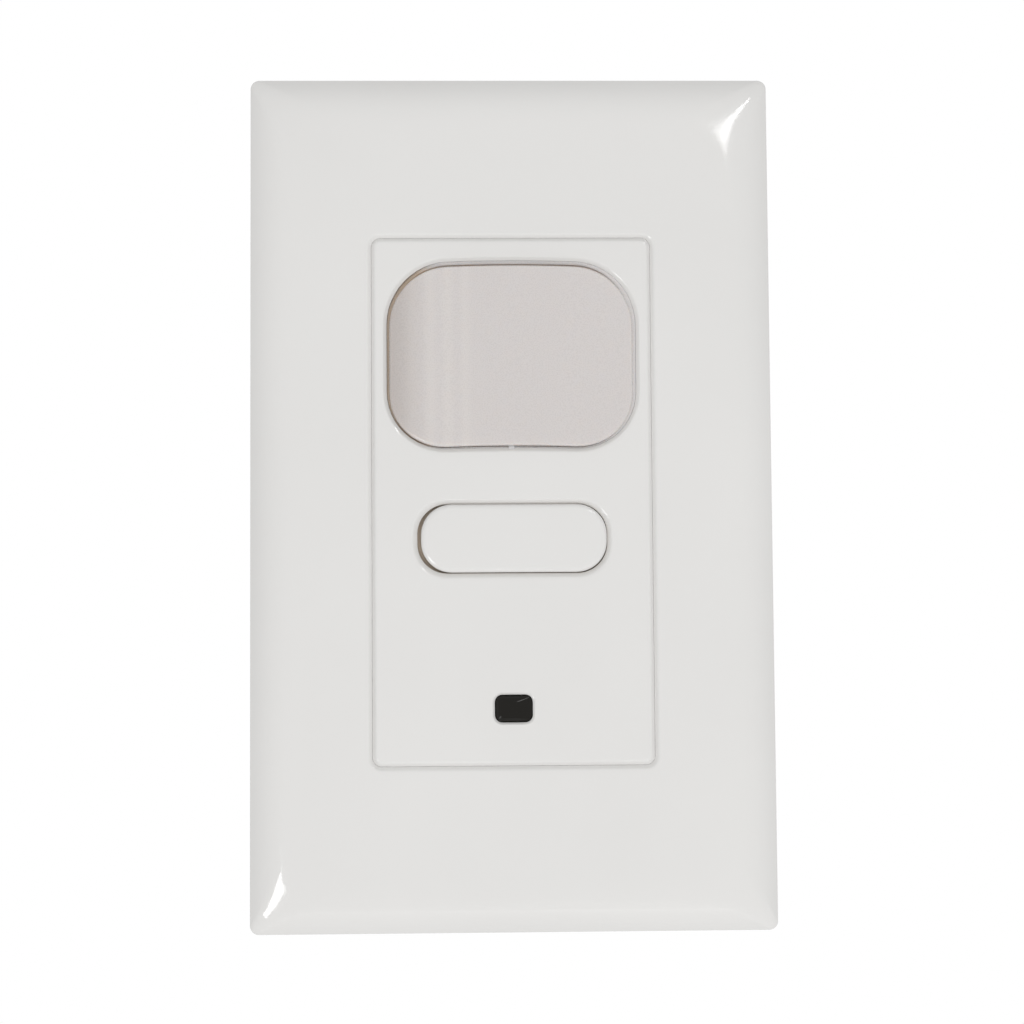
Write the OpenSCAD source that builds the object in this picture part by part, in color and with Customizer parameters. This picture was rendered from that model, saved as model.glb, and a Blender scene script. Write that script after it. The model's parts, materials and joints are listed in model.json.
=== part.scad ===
// Motion sensor light switch behind a screwless single-gang wall plate.
// Lengths are in millimetres. Every piece is drawn with x to the right, y up the wall and
// z out of the wall into the room, starting at the wall's face at z = 0, and centred on the
// two screws that hold the switch to its box. facing_room() then turns the piece so that the
// front looks along -Y and up is +Z.

/* [Wall plate] */
// Width of the plate
plate_w = 69.85; // [66:0.05:80]
// Height of the plate
plate_h = 114.3; // [112:0.05:126]
// Distance from the wall to the plate's front
plate_t = 6.2; // [5.8:0.1:8]
// Thickness of the plate's wall
plate_wall = 1.9; // [1.5:0.1:2.2]
// Height of the straight edge at the wall
plate_edge_t = 3.6; // [2.4:0.1:4.2]
// Width of the rounded slope along the edges
plate_slope_w = 7; // [5:0.1:9]
// Radius of the outline's corners
plate_corner_r = 1.2; // [1:0.1:3]
// Thickness of the lip around the opening
plate_lip_t = 1; // [0.8:0.05:1.3]
// Gap between the plate's opening and the front cover
seam_gap = 0.3; // [0.2:0.05:0.6]
// Length of each snap catch inside the plate
catch_l = 8; // [5:0.5:12]
// Reach of a snap catch under the sub-frame
catch_grip = 0.5; // [0.3:0.05:0.9]
// Distance of the snap catches above and below the middle
catch_y = 30; // [20:1:36]

/* [Plate sub-frame] */
// Thickness of the sub-frame that holds the plate
frame_t = 1.8; // [1.4:0.1:2.2]
// Gap around the sub-frame inside the plate
frame_gap = 0.3; // [0.2:0.05:0.6]
// Diameter of the pads that carry the plate
frame_pad_d = 4; // [3:0.5:6]
// Spacing of the two sub-frame screws
plate_screw_spacing = 96.84; // [96:0.02:98]
// Shank diameter of the sub-frame screws
frame_screw_d = 2.9; // [2.5:0.1:3.4]
// Head diameter of the sub-frame screws
frame_screw_head_d = 6.4; // [5.6:0.1:7]
// Length of the sub-frame screws behind the strap
frame_screw_tail = 3; // [2:0.5:8]

/* [Mounting strap] */
// Thickness of the steel strap
strap_t = 1.3; // [1:0.05:1.6]
// Distance from the housing's side to the strap's side
strap_inset = 0.25; // [0:0.05:1]
// Height of that wide part beyond the housing
strap_shoulder = 1.5; // [0.5:0.25:3]
// Width of the ears above and below
strap_ear_w = 33; // [26:0.5:38]
// Height of the strap over both ears
strap_h = 104.8; // [102:0.2:106]
// Radius of the ears' corners
strap_ear_r = 4; // [2:0.5:8]
// Spacing of the box screws
box_screw_spacing = 83.34; // [82:0.02:85]
// Diameter of the box screw holes
box_hole_d = 4.6; // [4:0.1:5.2]
// Room around a box screw for its head
box_screw_room = 3.3; // [3:0.1:4]
// Gap between the board posts and the side of the strap's opening
strap_post_gap = 1.2; // [0.8:0.1:1.6]
// Steel left between the strap's opening and the holes for the bosses
strap_bridge = 0.85; // [0.7:0.05:1]
// Width of the ground tab
ground_tab_w = 8; // [7:0.5:10]
// Gap between the strap's shoulder and the ground tab
ground_gap = 1.17; // [0.5:0.01:2]
// Length of the ground tab behind the wall's face
ground_tab_l = 9; // [8:0.5:12]
// Shank diameter of the ground screw
ground_screw_d = 3.4; // [2.8:0.1:4]
// Head diameter of the ground screw
ground_screw_head_d = 7.2; // [6:0.1:8]
// Head height of the ground screw
ground_screw_head_h = 1.8; // [1.4:0.1:2.4]
// Length of the ground screw's shank
ground_screw_l = 5; // [4:0.5:7]

/* [Front cover] */
// Width of the front cover
cover_w = 37; // [35:0.1:40]
// Height of the front cover
cover_h = 70; // [62:0.1:78]
// Radius of the front cover's corners
cover_corner_r = 1; // [0.5:0.1:2]
// How far the front cover stands proud of the plate
cover_proud = 0.1; // [0:0.05:0.8]
// Thickness of the front cover's face
cover_t = 1.6; // [1.2:0.1:1.8]
// Thickness of the front cover's skirt
cover_skirt_t = 1.35; // [1:0.05:1.5]
// Width of the ledge that lies under the plate's lip
cover_ledge_w = 0.8; // [0.6:0.1:1.2]
// Height of the snap nubs that hold the front cover
snap_h = 0.5; // [0.3:0.05:0.6]
// How far the snap nubs reach into the cover
snap_grip = 0.3; // [0.2:0.05:0.5]
// Length of the snap nubs
snap_l = 6; // [4:0.5:9]
// Distance of the snap nubs above and below the middle
snap_y = 21; // [14:0.5:26]

/* [Front housing] */
// Thickness of the front housing's flange on the strap
flange_t = 1.5; // [1.2:0.05:1.6]
// Thickness of the side rails behind the flange
rail_t = 1.2; // [1:0.1:1.5]
// Depth of the side rails behind the wall's face
rail_d = 4.6; // [3:0.2:5]
// Distance from the end of the strap's opening to the side rails
rail_end = 3.8; // [2:0.1:8]
// Depth of the screw bosses behind the wall's face
boss_d = 5; // [4:0.2:6]
// Wall of the screw bosses
boss_wall = 0.85; // [0.7:0.05:0.9]
// Diameter of the posts that carry the boards
post_d = 4.4; // [3.6:0.1:4.6]
// Gap between the posts and the boards' notches round the screw columns
post_gap = 0.95; // [0.6:0.05:1.4]

/* [Lens] */
// Distance from the cover's side to the lens
lens_side = 2.15; // [2:0.05:5]
// Distance from the cover's top to the lens
lens_top = 3.75; // [3.4:0.05:6]
// Height of the lens
lens_h = 24.3; // [20:0.1:26]
// Radius of the lens's corners
lens_corner_r = 7.8; // [4:0.1:10]
// Radius of the lens's curved front
lens_curve_r = 200; // [120:1:400]
// How far the lens's middle stands proud of the cover
lens_proud = 0.9; // [0.2:0.1:1.5]
// Thickness of the lens's wall
lens_t = 0.9; // [0.6:0.05:1.2]
// Thickness of the lens's flange
lens_flange_t = 1; // [0.8:0.05:1.1]
// Width of the lens's flange above and below
lens_flange_w = 1.4; // [1:0.1:1.8]
// Gap around the lens in the cover
lens_gap = 0.4; // [0.2:0.05:0.8]
// Width of the locating rib under the lens
lens_rib_w = 0.8; // [0.5:0.1:1.5]
// Number of lens segments across the width
lens_segments = 7; // [3:1:12]
// Depth of the grooves between the segments
lens_groove = 0.2; // [0.1:0.05:0.4]

/* [Button] */
// Width of the button
button_w = 24.6; // [20:0.1:28]
// Height of the button
button_h = 8.6; // [8:0.1:9.4]
// Radius of the button's corners
button_corner_r = 3.6; // [2:0.1:4]
// Distance from the lens's lower edge to the button's middle
button_drop = 12.1; // [11.5:0.1:13]
// Gap around the button in the cover
button_gap = 0.35; // [0.2:0.05:0.6]
// How far the button stands proud of the cover
button_proud = 0.45; // [0.2:0.05:1]
// Thickness of the button's face and walls
button_t = 1.4; // [1:0.1:1.6]
// Width of the button's retaining flange
button_flange_w = 1.1; // [0.8:0.1:1.2]
// Thickness of the button's retaining flange
button_flange_t = 0.8; // [0.6:0.05:1]
// Travel of the button
button_travel = 0.6; // [0.3:0.05:0.8]
// Diameter of the button's guide pins
guide_pin_d = 2.4; // [2:0.1:2.6]
// Spacing of the guide pins
guide_spacing = 15.6; // [14:0.2:17]
// Diameter of the stem that presses the switch
stem_d = 3; // [2.4:0.1:3.4]
// Wire diameter of the button springs
spring_wire_d = 0.4; // [0.3:0.05:0.5]
// Outer diameter of the button springs
spring_d = 4; // [3.8:0.1:4.4]
// Turns of each button spring
spring_turns = 5.5; // [4:0.5:7]
// Depth of the spring seats behind the wall's face
spring_seat_d = 1.5; // [1:0.1:2]
// Thickness of the spring seats
spring_seat_t = 1.2; // [0.8:0.1:1.4]

/* [Light window] */
// Width of the dark window
window_w = 4.8; // [4:0.1:7]
// Height of the dark window
window_h = 3.45; // [3:0.05:5]
// Radius of the window's corners
window_corner_r = 0.9; // [0.4:0.1:1.4]
// Distance from the cover's lower edge to the window's middle
window_rise = 7.4; // [7.2:0.1:12]
// Gap around the window in the cover
window_gap = 0.1; // [0.05:0.05:0.3]
// Width of the window's flange behind the cover
window_flange_w = 0.9; // [0.6:0.1:1.4]
// Width of the light pipe behind the window
pipe_w = 3.4; // [2:0.1:4]
// Height of the light pipe behind the window
pipe_h = 1.8; // [1.2:0.1:1.9]
// Diameter of the photocell
photocell_d = 5; // [4:0.1:6]
// Height of the photocell
photocell_h = 2; // [1.5:0.1:2.1]

/* [Rear housing] */
// Width of the rear housing
body_w = 44.5; // [40:0.1:50]
// Distance from the end of the cover's ledge to the end of the rear housing
body_inset = 0.8; // [0:0.1:1]
// Depth of the switch behind the wall's face
body_d = 33; // [32:0.5:45]
// Thickness of the housing's walls
body_wall = 1.8; // [1.4:0.1:2]
// Radius of the housing's upright edges
body_corner_r = 3; // [2:0.1:4]
// Depth of the back cover
back_d = 4; // [3.8:0.1:5]
// Height of the back cover's locating lip
back_lip_h = 0.6; // [0.4:0.1:0.7]
// Thickness of the back cover's locating lip
back_lip_t = 1.1; // [0.8:0.1:1.2]
// Diameter of the screw columns
column_d = 5.6; // [5.2:0.1:5.7]
// Distance from the housing's side to the screw columns
column_in_x = 7.65; // [7:0.05:9]
// Distance from the housing's top to the screw columns
column_in_y = 2.9; // [2.85:0.05:3.5]
// Shank diameter of the long housing screws
housing_screw_d = 2.8; // [2.4:0.1:3]
// Head diameter of the long housing screws
housing_screw_head_d = 4.8; // [4.2:0.1:5]
// Head height of the long housing screws
housing_screw_head_h = 2; // [1.6:0.1:2.2]

/* [Terminals] */
// Width of a terminal pocket
pocket_w = 11; // [10:0.5:12]
// Height of a terminal pocket
pocket_l = 10; // [9:0.5:11]
// Depth of a terminal pocket in the side
pocket_d = 5.2; // [4.6:0.1:5.6]
// Thickness of the pocket's walls
pocket_wall = 1.6; // [1.2:0.1:1.8]
// Distance of the pockets behind the wall's face
pocket_drop = 11; // [10.5:0.1:11.4]
// Spacing of the two terminals on one side
terminal_spacing = 24; // [16:0.5:30]
// Thickness of a terminal plate
terminal_t = 1.2; // [0.8:0.1:1.6]
// Margin between a terminal plate and its pocket
terminal_margin = 0.7; // [0.4:0.1:1.2]
// Width of the tail that reaches the power board
terminal_tail_w = 3; // [2:0.1:4]
// Shank diameter of the terminal screws
terminal_screw_d = 3.3; // [2.8:0.1:3.6]
// Head diameter of the terminal screws
terminal_head_d = 7.6; // [6:0.1:8]
// Head height of the terminal screws
terminal_head_h = 1.8; // [1.4:0.1:2.2]

/* [Boards] */
// Thickness of both circuit boards
board_t = 1.6; // [1.2:0.1:1.8]
// Gap between the boards and the housing
board_gap = 1.9; // [1.8:0.1:2.6]
// Depth of the control board's front behind the wall's face
control_drop = 6; // [5.8:0.1:6.4]
// Height of the power board above the back cover's floor
power_lift = 3; // [2.5:0.1:4]
// Distance of the power board's posts from the middle, across
power_post_x = 13.5; // [12.5:0.5:14.5]
// Shank diameter of the board screws
board_screw_d = 2; // [1.6:0.1:2.2]
// Length of the board screws under the head
board_screw_l = 4.4; // [3.6:0.1:4.5]
// Head diameter of the board screws
board_screw_head_d = 3.8; // [3.2:0.1:4]
// Head height of the board screws
board_screw_head_h = 1.3; // [1:0.1:1.5]
// Number of pins that join the two boards
link_pins = 6; // [4:1:7]
// Spacing of those pins
link_pitch = 2.54; // [2:0.01:2.6]
// Width of those pins
link_pin_w = 0.64; // [0.5:0.02:0.7]
// Height of the socket on the control board
link_socket_h = 8.5; // [7:0.1:9]
// Diameter of the component leads
lead_d = 0.5; // [0.4:0.05:0.6]
// Spacing of a component's two leads
lead_pitch = 2.54; // [2:0.02:2.8]
// Distance from a component's end to its leads
lead_margin = 1; // [0.8:0.1:1.4]
// Length of the leads behind a board
lead_tail = 0.7; // [0.4:0.1:1.2]

/* [Motion sensor] */
// Diameter of the sensor can
pir_can_d = 8.2; // [7:0.1:9]
// Height of the sensor can
pir_can_h = 3.6; // [3:0.1:4.2]
// Diameter of the sensor's base
pir_base_d = 9.2; // [9.1:0.1:10]
// Thickness of the sensor's base
pir_base_t = 0.6; // [0.4:0.05:0.8]
// Height of the collar under the sensor
pir_collar_h = 2; // [1:0.1:2.4]
// Width of the sensor's infrared window
pir_filter_w = 4; // [3:0.1:4.4]
// Height of the sensor's infrared window
pir_filter_h = 3; // [2:0.1:3.4]
// Diameter of the circle of sensor leads
pir_lead_circle = 5.08; // [4:0.02:5.4]
// Diameter of the indicator light
led_d = 3; // [2:0.1:4]
// Height of the indicator light under its dome
led_h = 2.4; // [1.5:0.1:3]

/* [Push switch and trimmers] */
// Width of the push switch
tact_w = 6; // [5.5:0.1:7]
// Height of the push switch's body
tact_h = 3.6; // [3.4:0.1:4]
// Diameter of the push switch's plunger
plunger_d = 3.4; // [3:0.1:3.8]
// How far the plunger stands out of the push switch
plunger_out = 0.9; // [0.85:0.05:1.2]
// Depth of the plunger inside the push switch
plunger_in = 1.4; // [1:0.1:1.6]
// Width of a trimmer
trimmer_w = 6.5; // [6:0.1:7.5]
// Height of a trimmer's body
trimmer_h = 3.2; // [2.8:0.1:3.8]
// Spacing of the two trimmers
trimmer_spacing = 18; // [16:0.5:20]
// Diameter of a trimmer's rotor
rotor_d = 4.8; // [4:0.1:5.2]
// Depth of the rotor in its trimmer
rotor_in = 1.2; // [1:0.1:1.6]
// How far the rotor stands out of its trimmer
rotor_out = 0.5; // [0.3:0.1:0.8]
// Diameter of the access holes over the rotors
access_d = 4.6; // [4:0.1:5.4]

/* [Relay] */
// Width of the relay
relay_w = 15.5; // [14.5:0.1:16.5]
// Length of the relay
relay_l = 19; // [18.6:0.1:20]
// Height of the relay
relay_h = 15; // [14.8:0.1:16]
// Wall of the relay's case
relay_wall = 0.9; // [0.7:0.05:1]
// Thickness of the relay's base
relay_base_t = 2; // [1.6:0.1:2.2]
// Distance from the relay's sides to its leads
relay_lead_in = 2.7; // [2:0.1:4]
// Thickness of the relay's yoke
yoke_t = 1.1; // [0.9:0.1:1.2]
// Diameter of the coil's flanges
coil_flange_d = 9.8; // [8.8:0.1:9.9]
// Diameter of the coil's winding
coil_d = 8.6; // [7:0.1:8.8]
// Height of the coil
coil_h = 8.2; // [7:0.1:8.4]
// Diameter of the iron core
core_d = 3.2; // [2.4:0.1:4]
// Gap between the core and the armature at rest
armature_gap = 0.6; // [0.55:0.05:0.8]
// Thickness of the armature
armature_t = 1; // [0.8:0.05:1.1]
// Diameter of the armature's pivot
pivot_d = 1.4; // [1.2:0.1:1.6]
// Diameter of the relay's contacts
contact_d = 2.2; // [1.6:0.1:2.6]
// Thickness of the relay's contacts
contact_t = 0.8; // [0.6:0.05:1]
// Gap between the relay's contacts at rest
contact_gap = 1.05; // [1.02:0.01:1.3]

/* [Power parts] */
// Width, depth and height of the film capacitor
film_size = [13, 6, 11];
// Diameter of the electrolytic capacitor
electrolytic_d = 8; // [6:0.1:8.4]
// Height of the electrolytic capacitor
electrolytic_h = 12; // [8:0.5:13]
// Diameter of the varistor
varistor_d = 8; // [6:0.1:8.4]
// Thickness of the varistor
varistor_t = 3; // [2.4:0.1:3.4]
// Distance from the power board's posts to the varistor
varistor_in = 5; // [4:0.1:6]
// Diameter of the fusible resistor
resistor_d = 3; // [2:0.1:3.2]
// Length of the fusible resistor
resistor_l = 8; // [6:0.1:9]
// Width, depth and height of the bridge rectifier
bridge_size = [8.2, 6.4, 3.3];
// Width, depth and height of the control chip
chip_size = [7.5, 12.8, 2.3];

/* [Fits] */
// Radial clearance of a shaft or screw in its hole
fit = 0.05; // [0.02:0.01:0.08]
// Clearance between two moulded pieces that slide together
slip = 0.15; // [0.1:0.05:0.2]
// Clearance in front of a clamped flange
seat_gap = 0.1; // [0.05:0.05:0.15]
// Clearance behind a moving piece at the end of its travel
end_gap = 0.4; // [0.3:0.05:0.5]

/* [Hidden] */
$fn = 48;
// Overshoot of a cut beyond the face it leaves
cut = 1;
// Reach and width of a screwdriver cross, as shares of the head it is cut in
cross_reach = 0.62;
cross_arm = 0.16;
// Width of a screwdriver slot, as a share of the head it is cut in
slot_share = 0.14;

// Levels in front of the wall's face
cavity_z = plate_t - plate_wall;
cavity_edge = plate_edge_t - plate_wall;
lip_z = plate_t - plate_lip_t;
cover_z = plate_t + cover_proud;
cover_under_z = cover_z - cover_t;
ledge_z = lip_z - seat_gap;
flange_z = strap_t + flange_t;
plateau_z = cover_under_z - seat_gap - lens_flange_t;
frame_z = strap_t + frame_t;
button_z = cover_z + button_proud;
button_ceiling_z = button_z - button_t;
button_flange_z = cover_under_z - seat_gap;
button_foot_z = button_flange_z - button_flange_t;
button_pocket_z = button_foot_z - button_travel - end_gap;
window_z = cover_z + seat_gap;

// Levels behind the wall's face
control_z = -control_drop;
control_back_z = control_z - board_t;
tact_z = control_z + tact_h;
plunger_z = tact_z + plunger_out;
trimmer_z = control_z + trimmer_h;
pir_z = control_z + pir_collar_h;
can_z = pir_z + pir_base_t + pir_can_h;
seat_z = -spring_seat_d;
back_z = -body_d;
floor_z = back_z + body_wall;
split_z = back_z + back_d;
power_back_z = floor_z + power_lift;
power_z = power_back_z + board_t;
link_socket_z = control_back_z - link_socket_h;
pocket_z = -pocket_drop;
pocket_foot_z = pocket_z - pocket_l;

// Half sizes of the plate, the cover and what lies under them
cavity_x = plate_w / 2 - plate_wall;
cavity_y = plate_h / 2 - plate_wall;
ledge_x = cover_w / 2 + cover_ledge_w;
ledge_y = cover_h / 2 + cover_ledge_w;
skirt_x = cover_w / 2 - cover_skirt_t;
skirt_y = cover_h / 2 - cover_skirt_t;
plateau_x = skirt_x - slip;
plateau_y = skirt_y - slip;
body_h = 2 * (ledge_y - body_inset);
column_x = body_w / 2 - column_in_x;
column_y = body_h / 2 - column_in_y;
flange_x = max(ledge_x, column_x + column_d / 2) + end_gap;
flange_y = max(ledge_y, column_y + column_d / 2) + end_gap;
frame_inset = slope_inset(frame_z, cavity_edge, cavity_z, plate_slope_w);
frame_x = cavity_x - frame_inset - frame_gap;
frame_y = cavity_y - frame_inset - frame_gap;
frame_open_x = flange_x + frame_gap;
frame_open_y = box_screw_spacing / 2 + box_screw_room;
catch_x0 = frame_x - catch_grip;
catch_x1 = plate_w / 2 - plate_wall / 2;

// Places down the front
lens_w = cover_w - 2 * lens_side;
lens_y = cover_h / 2 - lens_top - lens_h / 2;
lens_foot_y = lens_y - lens_h / 2;
lens_flange_x = min(lens_w / 2 + lens_flange_w, plateau_x - seat_gap);
lens_axis_z = cover_z + lens_proud - lens_curve_r;
button_y = lens_foot_y - button_drop;
window_y = window_rise - cover_h / 2;
trimmer_y = (button_y - button_h / 2 + window_y + window_h / 2) / 2;
post_high_y = (lens_foot_y + button_y + button_h / 2) / 2;
led_x = lens_w / 2 - 2 * led_d;
led_y = lens_foot_y + lens_t + led_d;

// Boards, posts and columns
inner_x = body_w / 2 - body_wall;
inner_y = body_h / 2 - body_wall;
board_x = inner_x - board_gap;
board_y = inner_y - board_gap;
notch_r = column_d / 2 + slip;
boss_r = housing_screw_d / 2 + fit + boss_wall;
post_y = column_y - notch_r - post_d / 2 - post_gap;
link_w = link_pins * link_pitch;

// Opening of the strap, the rails inside it and the ground tab above it
strap_open_x = column_x + post_d / 2 + strap_post_gap;
strap_open_y = column_y - boss_r - slip - strap_bridge;
rail_y = strap_open_y - rail_end;
ground_y = body_h / 2 + strap_shoulder + ground_gap + ground_tab_w / 2;

// Terminals: which side of the housing and how high
terminal_plate_x = body_w / 2 - pocket_d;
brass_places = [[-1, terminal_spacing / 2], [-1, -terminal_spacing / 2]];
neutral_places = [[1, terminal_spacing / 2]];
terminal_places = concat(brass_places, neutral_places);

// Relay and power parts, placed on the power board
relay_at = [-3, 15];
relay_base_z = power_z + relay_base_t;
coil_z = relay_base_z + yoke_t;
core_z = coil_z + coil_h + end_gap;
armature_z = core_z + armature_gap;
pivot_z = armature_z + armature_t / 2;
relay_inner_y = relay_l / 2 - relay_wall;
pivot_y = relay_inner_y - pivot_d / 2 - yoke_t / 2;
coil_y = pivot_y - yoke_t / 2 - coil_flange_d / 2 - end_gap;
armature_x = relay_w / 2 - relay_wall - yoke_t - pivot_d;
ear_x = armature_x + end_gap;
armature_end_y = -relay_inner_y + pivot_d / 2 + end_gap;
contact_y = armature_end_y + contact_d / 2 + fit;
fixed_contact_z = armature_z - contact_t - contact_gap;
film_at = [-5, -21];
electrolytic_at = [10, -13];
varistor_at = [10.2, post_y - varistor_in];
resistor_at = [-13.3, -12];
bridge_at = [-6, -12.5];
link_y = -5;

// Radius of a slope that leaves the front level and has drawn in by its width at the edge
function slope_r(rise, slope) = (slope * slope + rise * rise) / (2 * rise);

// How far such a slope has drawn in at height z
function slope_inset(z, edge, top, slope) =
    let (r = slope_r(top - edge, slope), below = top - max(z, edge))
    slope - sqrt(r * r - (r - below) * (r - below));

// Pairs of opposite places
function four(x, y) = [for (i = [-1, 1], j = [-1, 1]) [i * x, j * y]];
function two_across(x, y) = [[-x, y], [x, y]];

// The four posts that carry the control board, and the four that carry the power board
function control_posts() = concat(two_across(column_x, post_high_y), two_across(column_x, -post_y));
function power_posts() = four(power_post_x, post_y);

// Leads of the parts on the control board
function pir_leads() = [for (a = [0, 90, 180]) [cos(a), sin(a)] * pir_lead_circle / 2 + [0, lens_y]];
function led_leads() = two_across_at([led_x, led_y], lead_pitch / 2);
function photocell_leads() = two_across_at([0, window_y], lead_pitch / 2);
function two_across_at(p, x) = [p - [x, 0], p + [x, 0]];
function four_at(p, x, y) = [for (q = four(x, y)) p + q];

// Leads of the parts on the power board
function relay_leads() = four_at(relay_at, relay_w / 2 - relay_lead_in, relay_l / 2 - relay_lead_in);
function film_leads() = two_across_at(film_at, film_size[0] / 2 - lead_margin);
function electrolytic_leads() = two_across_at(electrolytic_at, lead_pitch / 2);
function varistor_leads() = two_across_at(varistor_at, lead_pitch);
function resistor_leads() = [for (s = [-1, 1]) resistor_at + [0, s * (resistor_l / 2 + lead_margin)]];
function bridge_leads() =
    four_at(bridge_at, bridge_size[0] / 2 - lead_margin, bridge_size[1] / 2 - lead_margin);
function link_places() = [for (i = [0:link_pins - 1]) [(i - (link_pins - 1) / 2) * link_pitch, link_y]];

module facing_room() {
    rotate([90, 0, 0]) children();
}

module at_places(places) {
    for (p = places) translate([p[0], p[1], 0]) children();
}

module rounded(w, h, r) {
    square([w - 2 * r, h], center = true);
    square([w, h - 2 * r], center = true);
    at_places(four(w / 2 - r, h / 2 - r)) circle(r = r);
}

module rounded_block(w, h, r, z0, z1) {
    translate([0, 0, z0]) linear_extrude(z1 - z0) rounded(w, h, r);
}

module block(w, h, z0, z1) {
    translate([-w / 2, -h / 2, z0]) cube([w, h, z1 - z0]);
}

module pin(d, z0, z1) {
    translate([0, 0, z0]) cylinder(d = d, h = z1 - z0);
}

// A round bar along x between two places
module cross_pin(d, x0, x1) {
    translate([x0, 0, 0]) rotate([0, 90, 0]) cylinder(d = d, h = x1 - x0);
}

// A cross for a screwdriver, sunk below a face at z1
module drive_cross(d, z0, z1) {
    block(d * cross_reach, d * cross_arm, z0, z1);
    block(d * cross_arm, d * cross_reach, z0, z1);
}

// Section of a plate whose sides round over into its front: across, then out of the wall
module slope_section(half, edge, top, slope) {
    r = slope_r(top - edge, slope);
    translate([-half, 0]) square([2 * half, edge]);
    translate([slope - half, 0]) square([2 * (half - slope), top]);
    intersection() {
        translate([-half, 0]) square([2 * half, top + cut]);
        for (s = [-1, 1]) translate([s * (half - slope), top - r]) circle(r = r, $fn = 180);
    }
}

// A plate with a straight edge and rounded slopes that meet in mitred corners
module sloped_plate(half_x, half_y, edge, top, slope, r) {
    intersection() {
        rotate([90, 0, 0]) linear_extrude(4 * half_y, center = true)
            slope_section(half_x, edge, top, slope);
        rotate([90, 0, 90]) linear_extrude(4 * half_x, center = true)
            slope_section(half_y, edge, top, slope);
        rounded_block(2 * half_x, 2 * half_y, r, 0, top);
    }
}

// Screwless plate: a sloped shell with a lipped opening and four snap catches
module wall_plate() {
    color("white") facing_room() {
        difference() {
            sloped_plate(plate_w / 2, plate_h / 2, plate_edge_t, plate_t, plate_slope_w, plate_corner_r);
            translate([0, 0, -cut])
                sloped_plate(cavity_x, cavity_y, cavity_edge + cut, cavity_z + cut, plate_slope_w,
                    plate_corner_r);
            rounded_block(cover_w + 2 * seam_gap, cover_h + 2 * seam_gap, cover_corner_r + seam_gap,
                0, plate_t + cut);
            rounded_block(2 * (ledge_x + end_gap), 2 * (ledge_y + end_gap), cover_corner_r + end_gap,
                0, lip_z);
        }
        at_places(four((catch_x0 + catch_x1) / 2, catch_y))
            block(catch_x1 - catch_x0, catch_l, seat_gap, strap_t - seat_gap);
    }
}

// Frame that is screwed to the strap and that the plate snaps over
module plate_frame() {
    color("gainsboro") facing_room() difference() {
        union() {
            rounded_block(2 * frame_x, 2 * frame_y, plate_corner_r, strap_t, frame_z);
            at_places(four(frame_x - 2 * frame_pad_d, frame_y - 2 * frame_pad_d))
                pin(frame_pad_d, strap_t, cavity_z - seat_gap);
        }
        rounded_block(2 * frame_open_x, 2 * frame_open_y, plate_corner_r, 0, plate_t);
        at_places([for (s = [-1, 1]) [0, s * plate_screw_spacing / 2]]) {
            pin(frame_screw_d + 2 * slip, 0, plate_t);
            countersink(slip);
        }
    }
}

// Cone of a countersunk head whose top lies flush with the sub-frame
module countersink(gap) {
    head = frame_screw_head_d / 2 + gap;
    shank = frame_screw_d / 2 + gap;
    translate([0, 0, frame_z - head + shank]) cylinder(r1 = shank, r2 = head, h = head - shank);
}

module plate_frame_screws() {
    color("silver") facing_room()
        at_places([for (s = [-1, 1]) [0, s * plate_screw_spacing / 2]]) difference() {
            union() {
                countersink(0);
                pin(frame_screw_d, -frame_screw_tail, frame_z - frame_t / 2);
            }
            drive_cross(frame_screw_head_d, frame_z - frame_t / 2, frame_z + cut);
        }
}

// Steel strap that carries the switch in its box, with the ground tab bent back
module mounting_strap() {
    color("lightsteelblue") facing_room() difference() {
        union() {
            rounded_block(body_w - 2 * strap_inset, body_h + 2 * strap_shoulder, plate_corner_r, 0, strap_t);
            rounded_block(strap_ear_w, strap_h, strap_ear_r, 0, strap_t);
            translate([strap_ear_w / 2 - strap_t / 2, ground_y, 0])
                block(strap_t, ground_tab_w, -ground_tab_l, strap_t);
        }
        translate([0, 0, -cut]) linear_extrude(strap_t + 2 * cut) {
            square(2 * [strap_open_x, strap_open_y], center = true);
            at_places(four(column_x, column_y)) circle(r = boss_r + slip);
        }
        for (s = [-1, 1]) {
            translate([0, s * box_screw_spacing / 2, 0]) pin(box_hole_d, -cut, strap_t + cut);
            translate([0, s * plate_screw_spacing / 2, 0])
                pin(frame_screw_d + 2 * fit, -cut, strap_t + cut);
        }
        ground_place() cross_pin(ground_screw_d + 2 * fit, -2 * strap_t, cut);
    }
}

// The ground screw's place: on the outer face of the tab, x pointing out
module ground_place() {
    translate([strap_ear_w / 2, ground_y, -ground_tab_l + ground_tab_w / 2]) children();
}

module ground_screw() {
    color("seagreen") facing_room() ground_place() side_screw(ground_screw_d, ground_screw_l,
        ground_screw_head_d, ground_screw_head_h);
}

// A slotted screw along x whose head starts at x = 0
module side_screw(d, l, head_d, head_h) {
    difference() {
        union() {
            cross_pin(d, -l, head_h / 2);
            cross_pin(head_d, 0, head_h);
        }
        translate([head_h, 0, 0]) cube([head_h, head_d * slot_share, 2 * head_d], center = true);
    }
}

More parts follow.
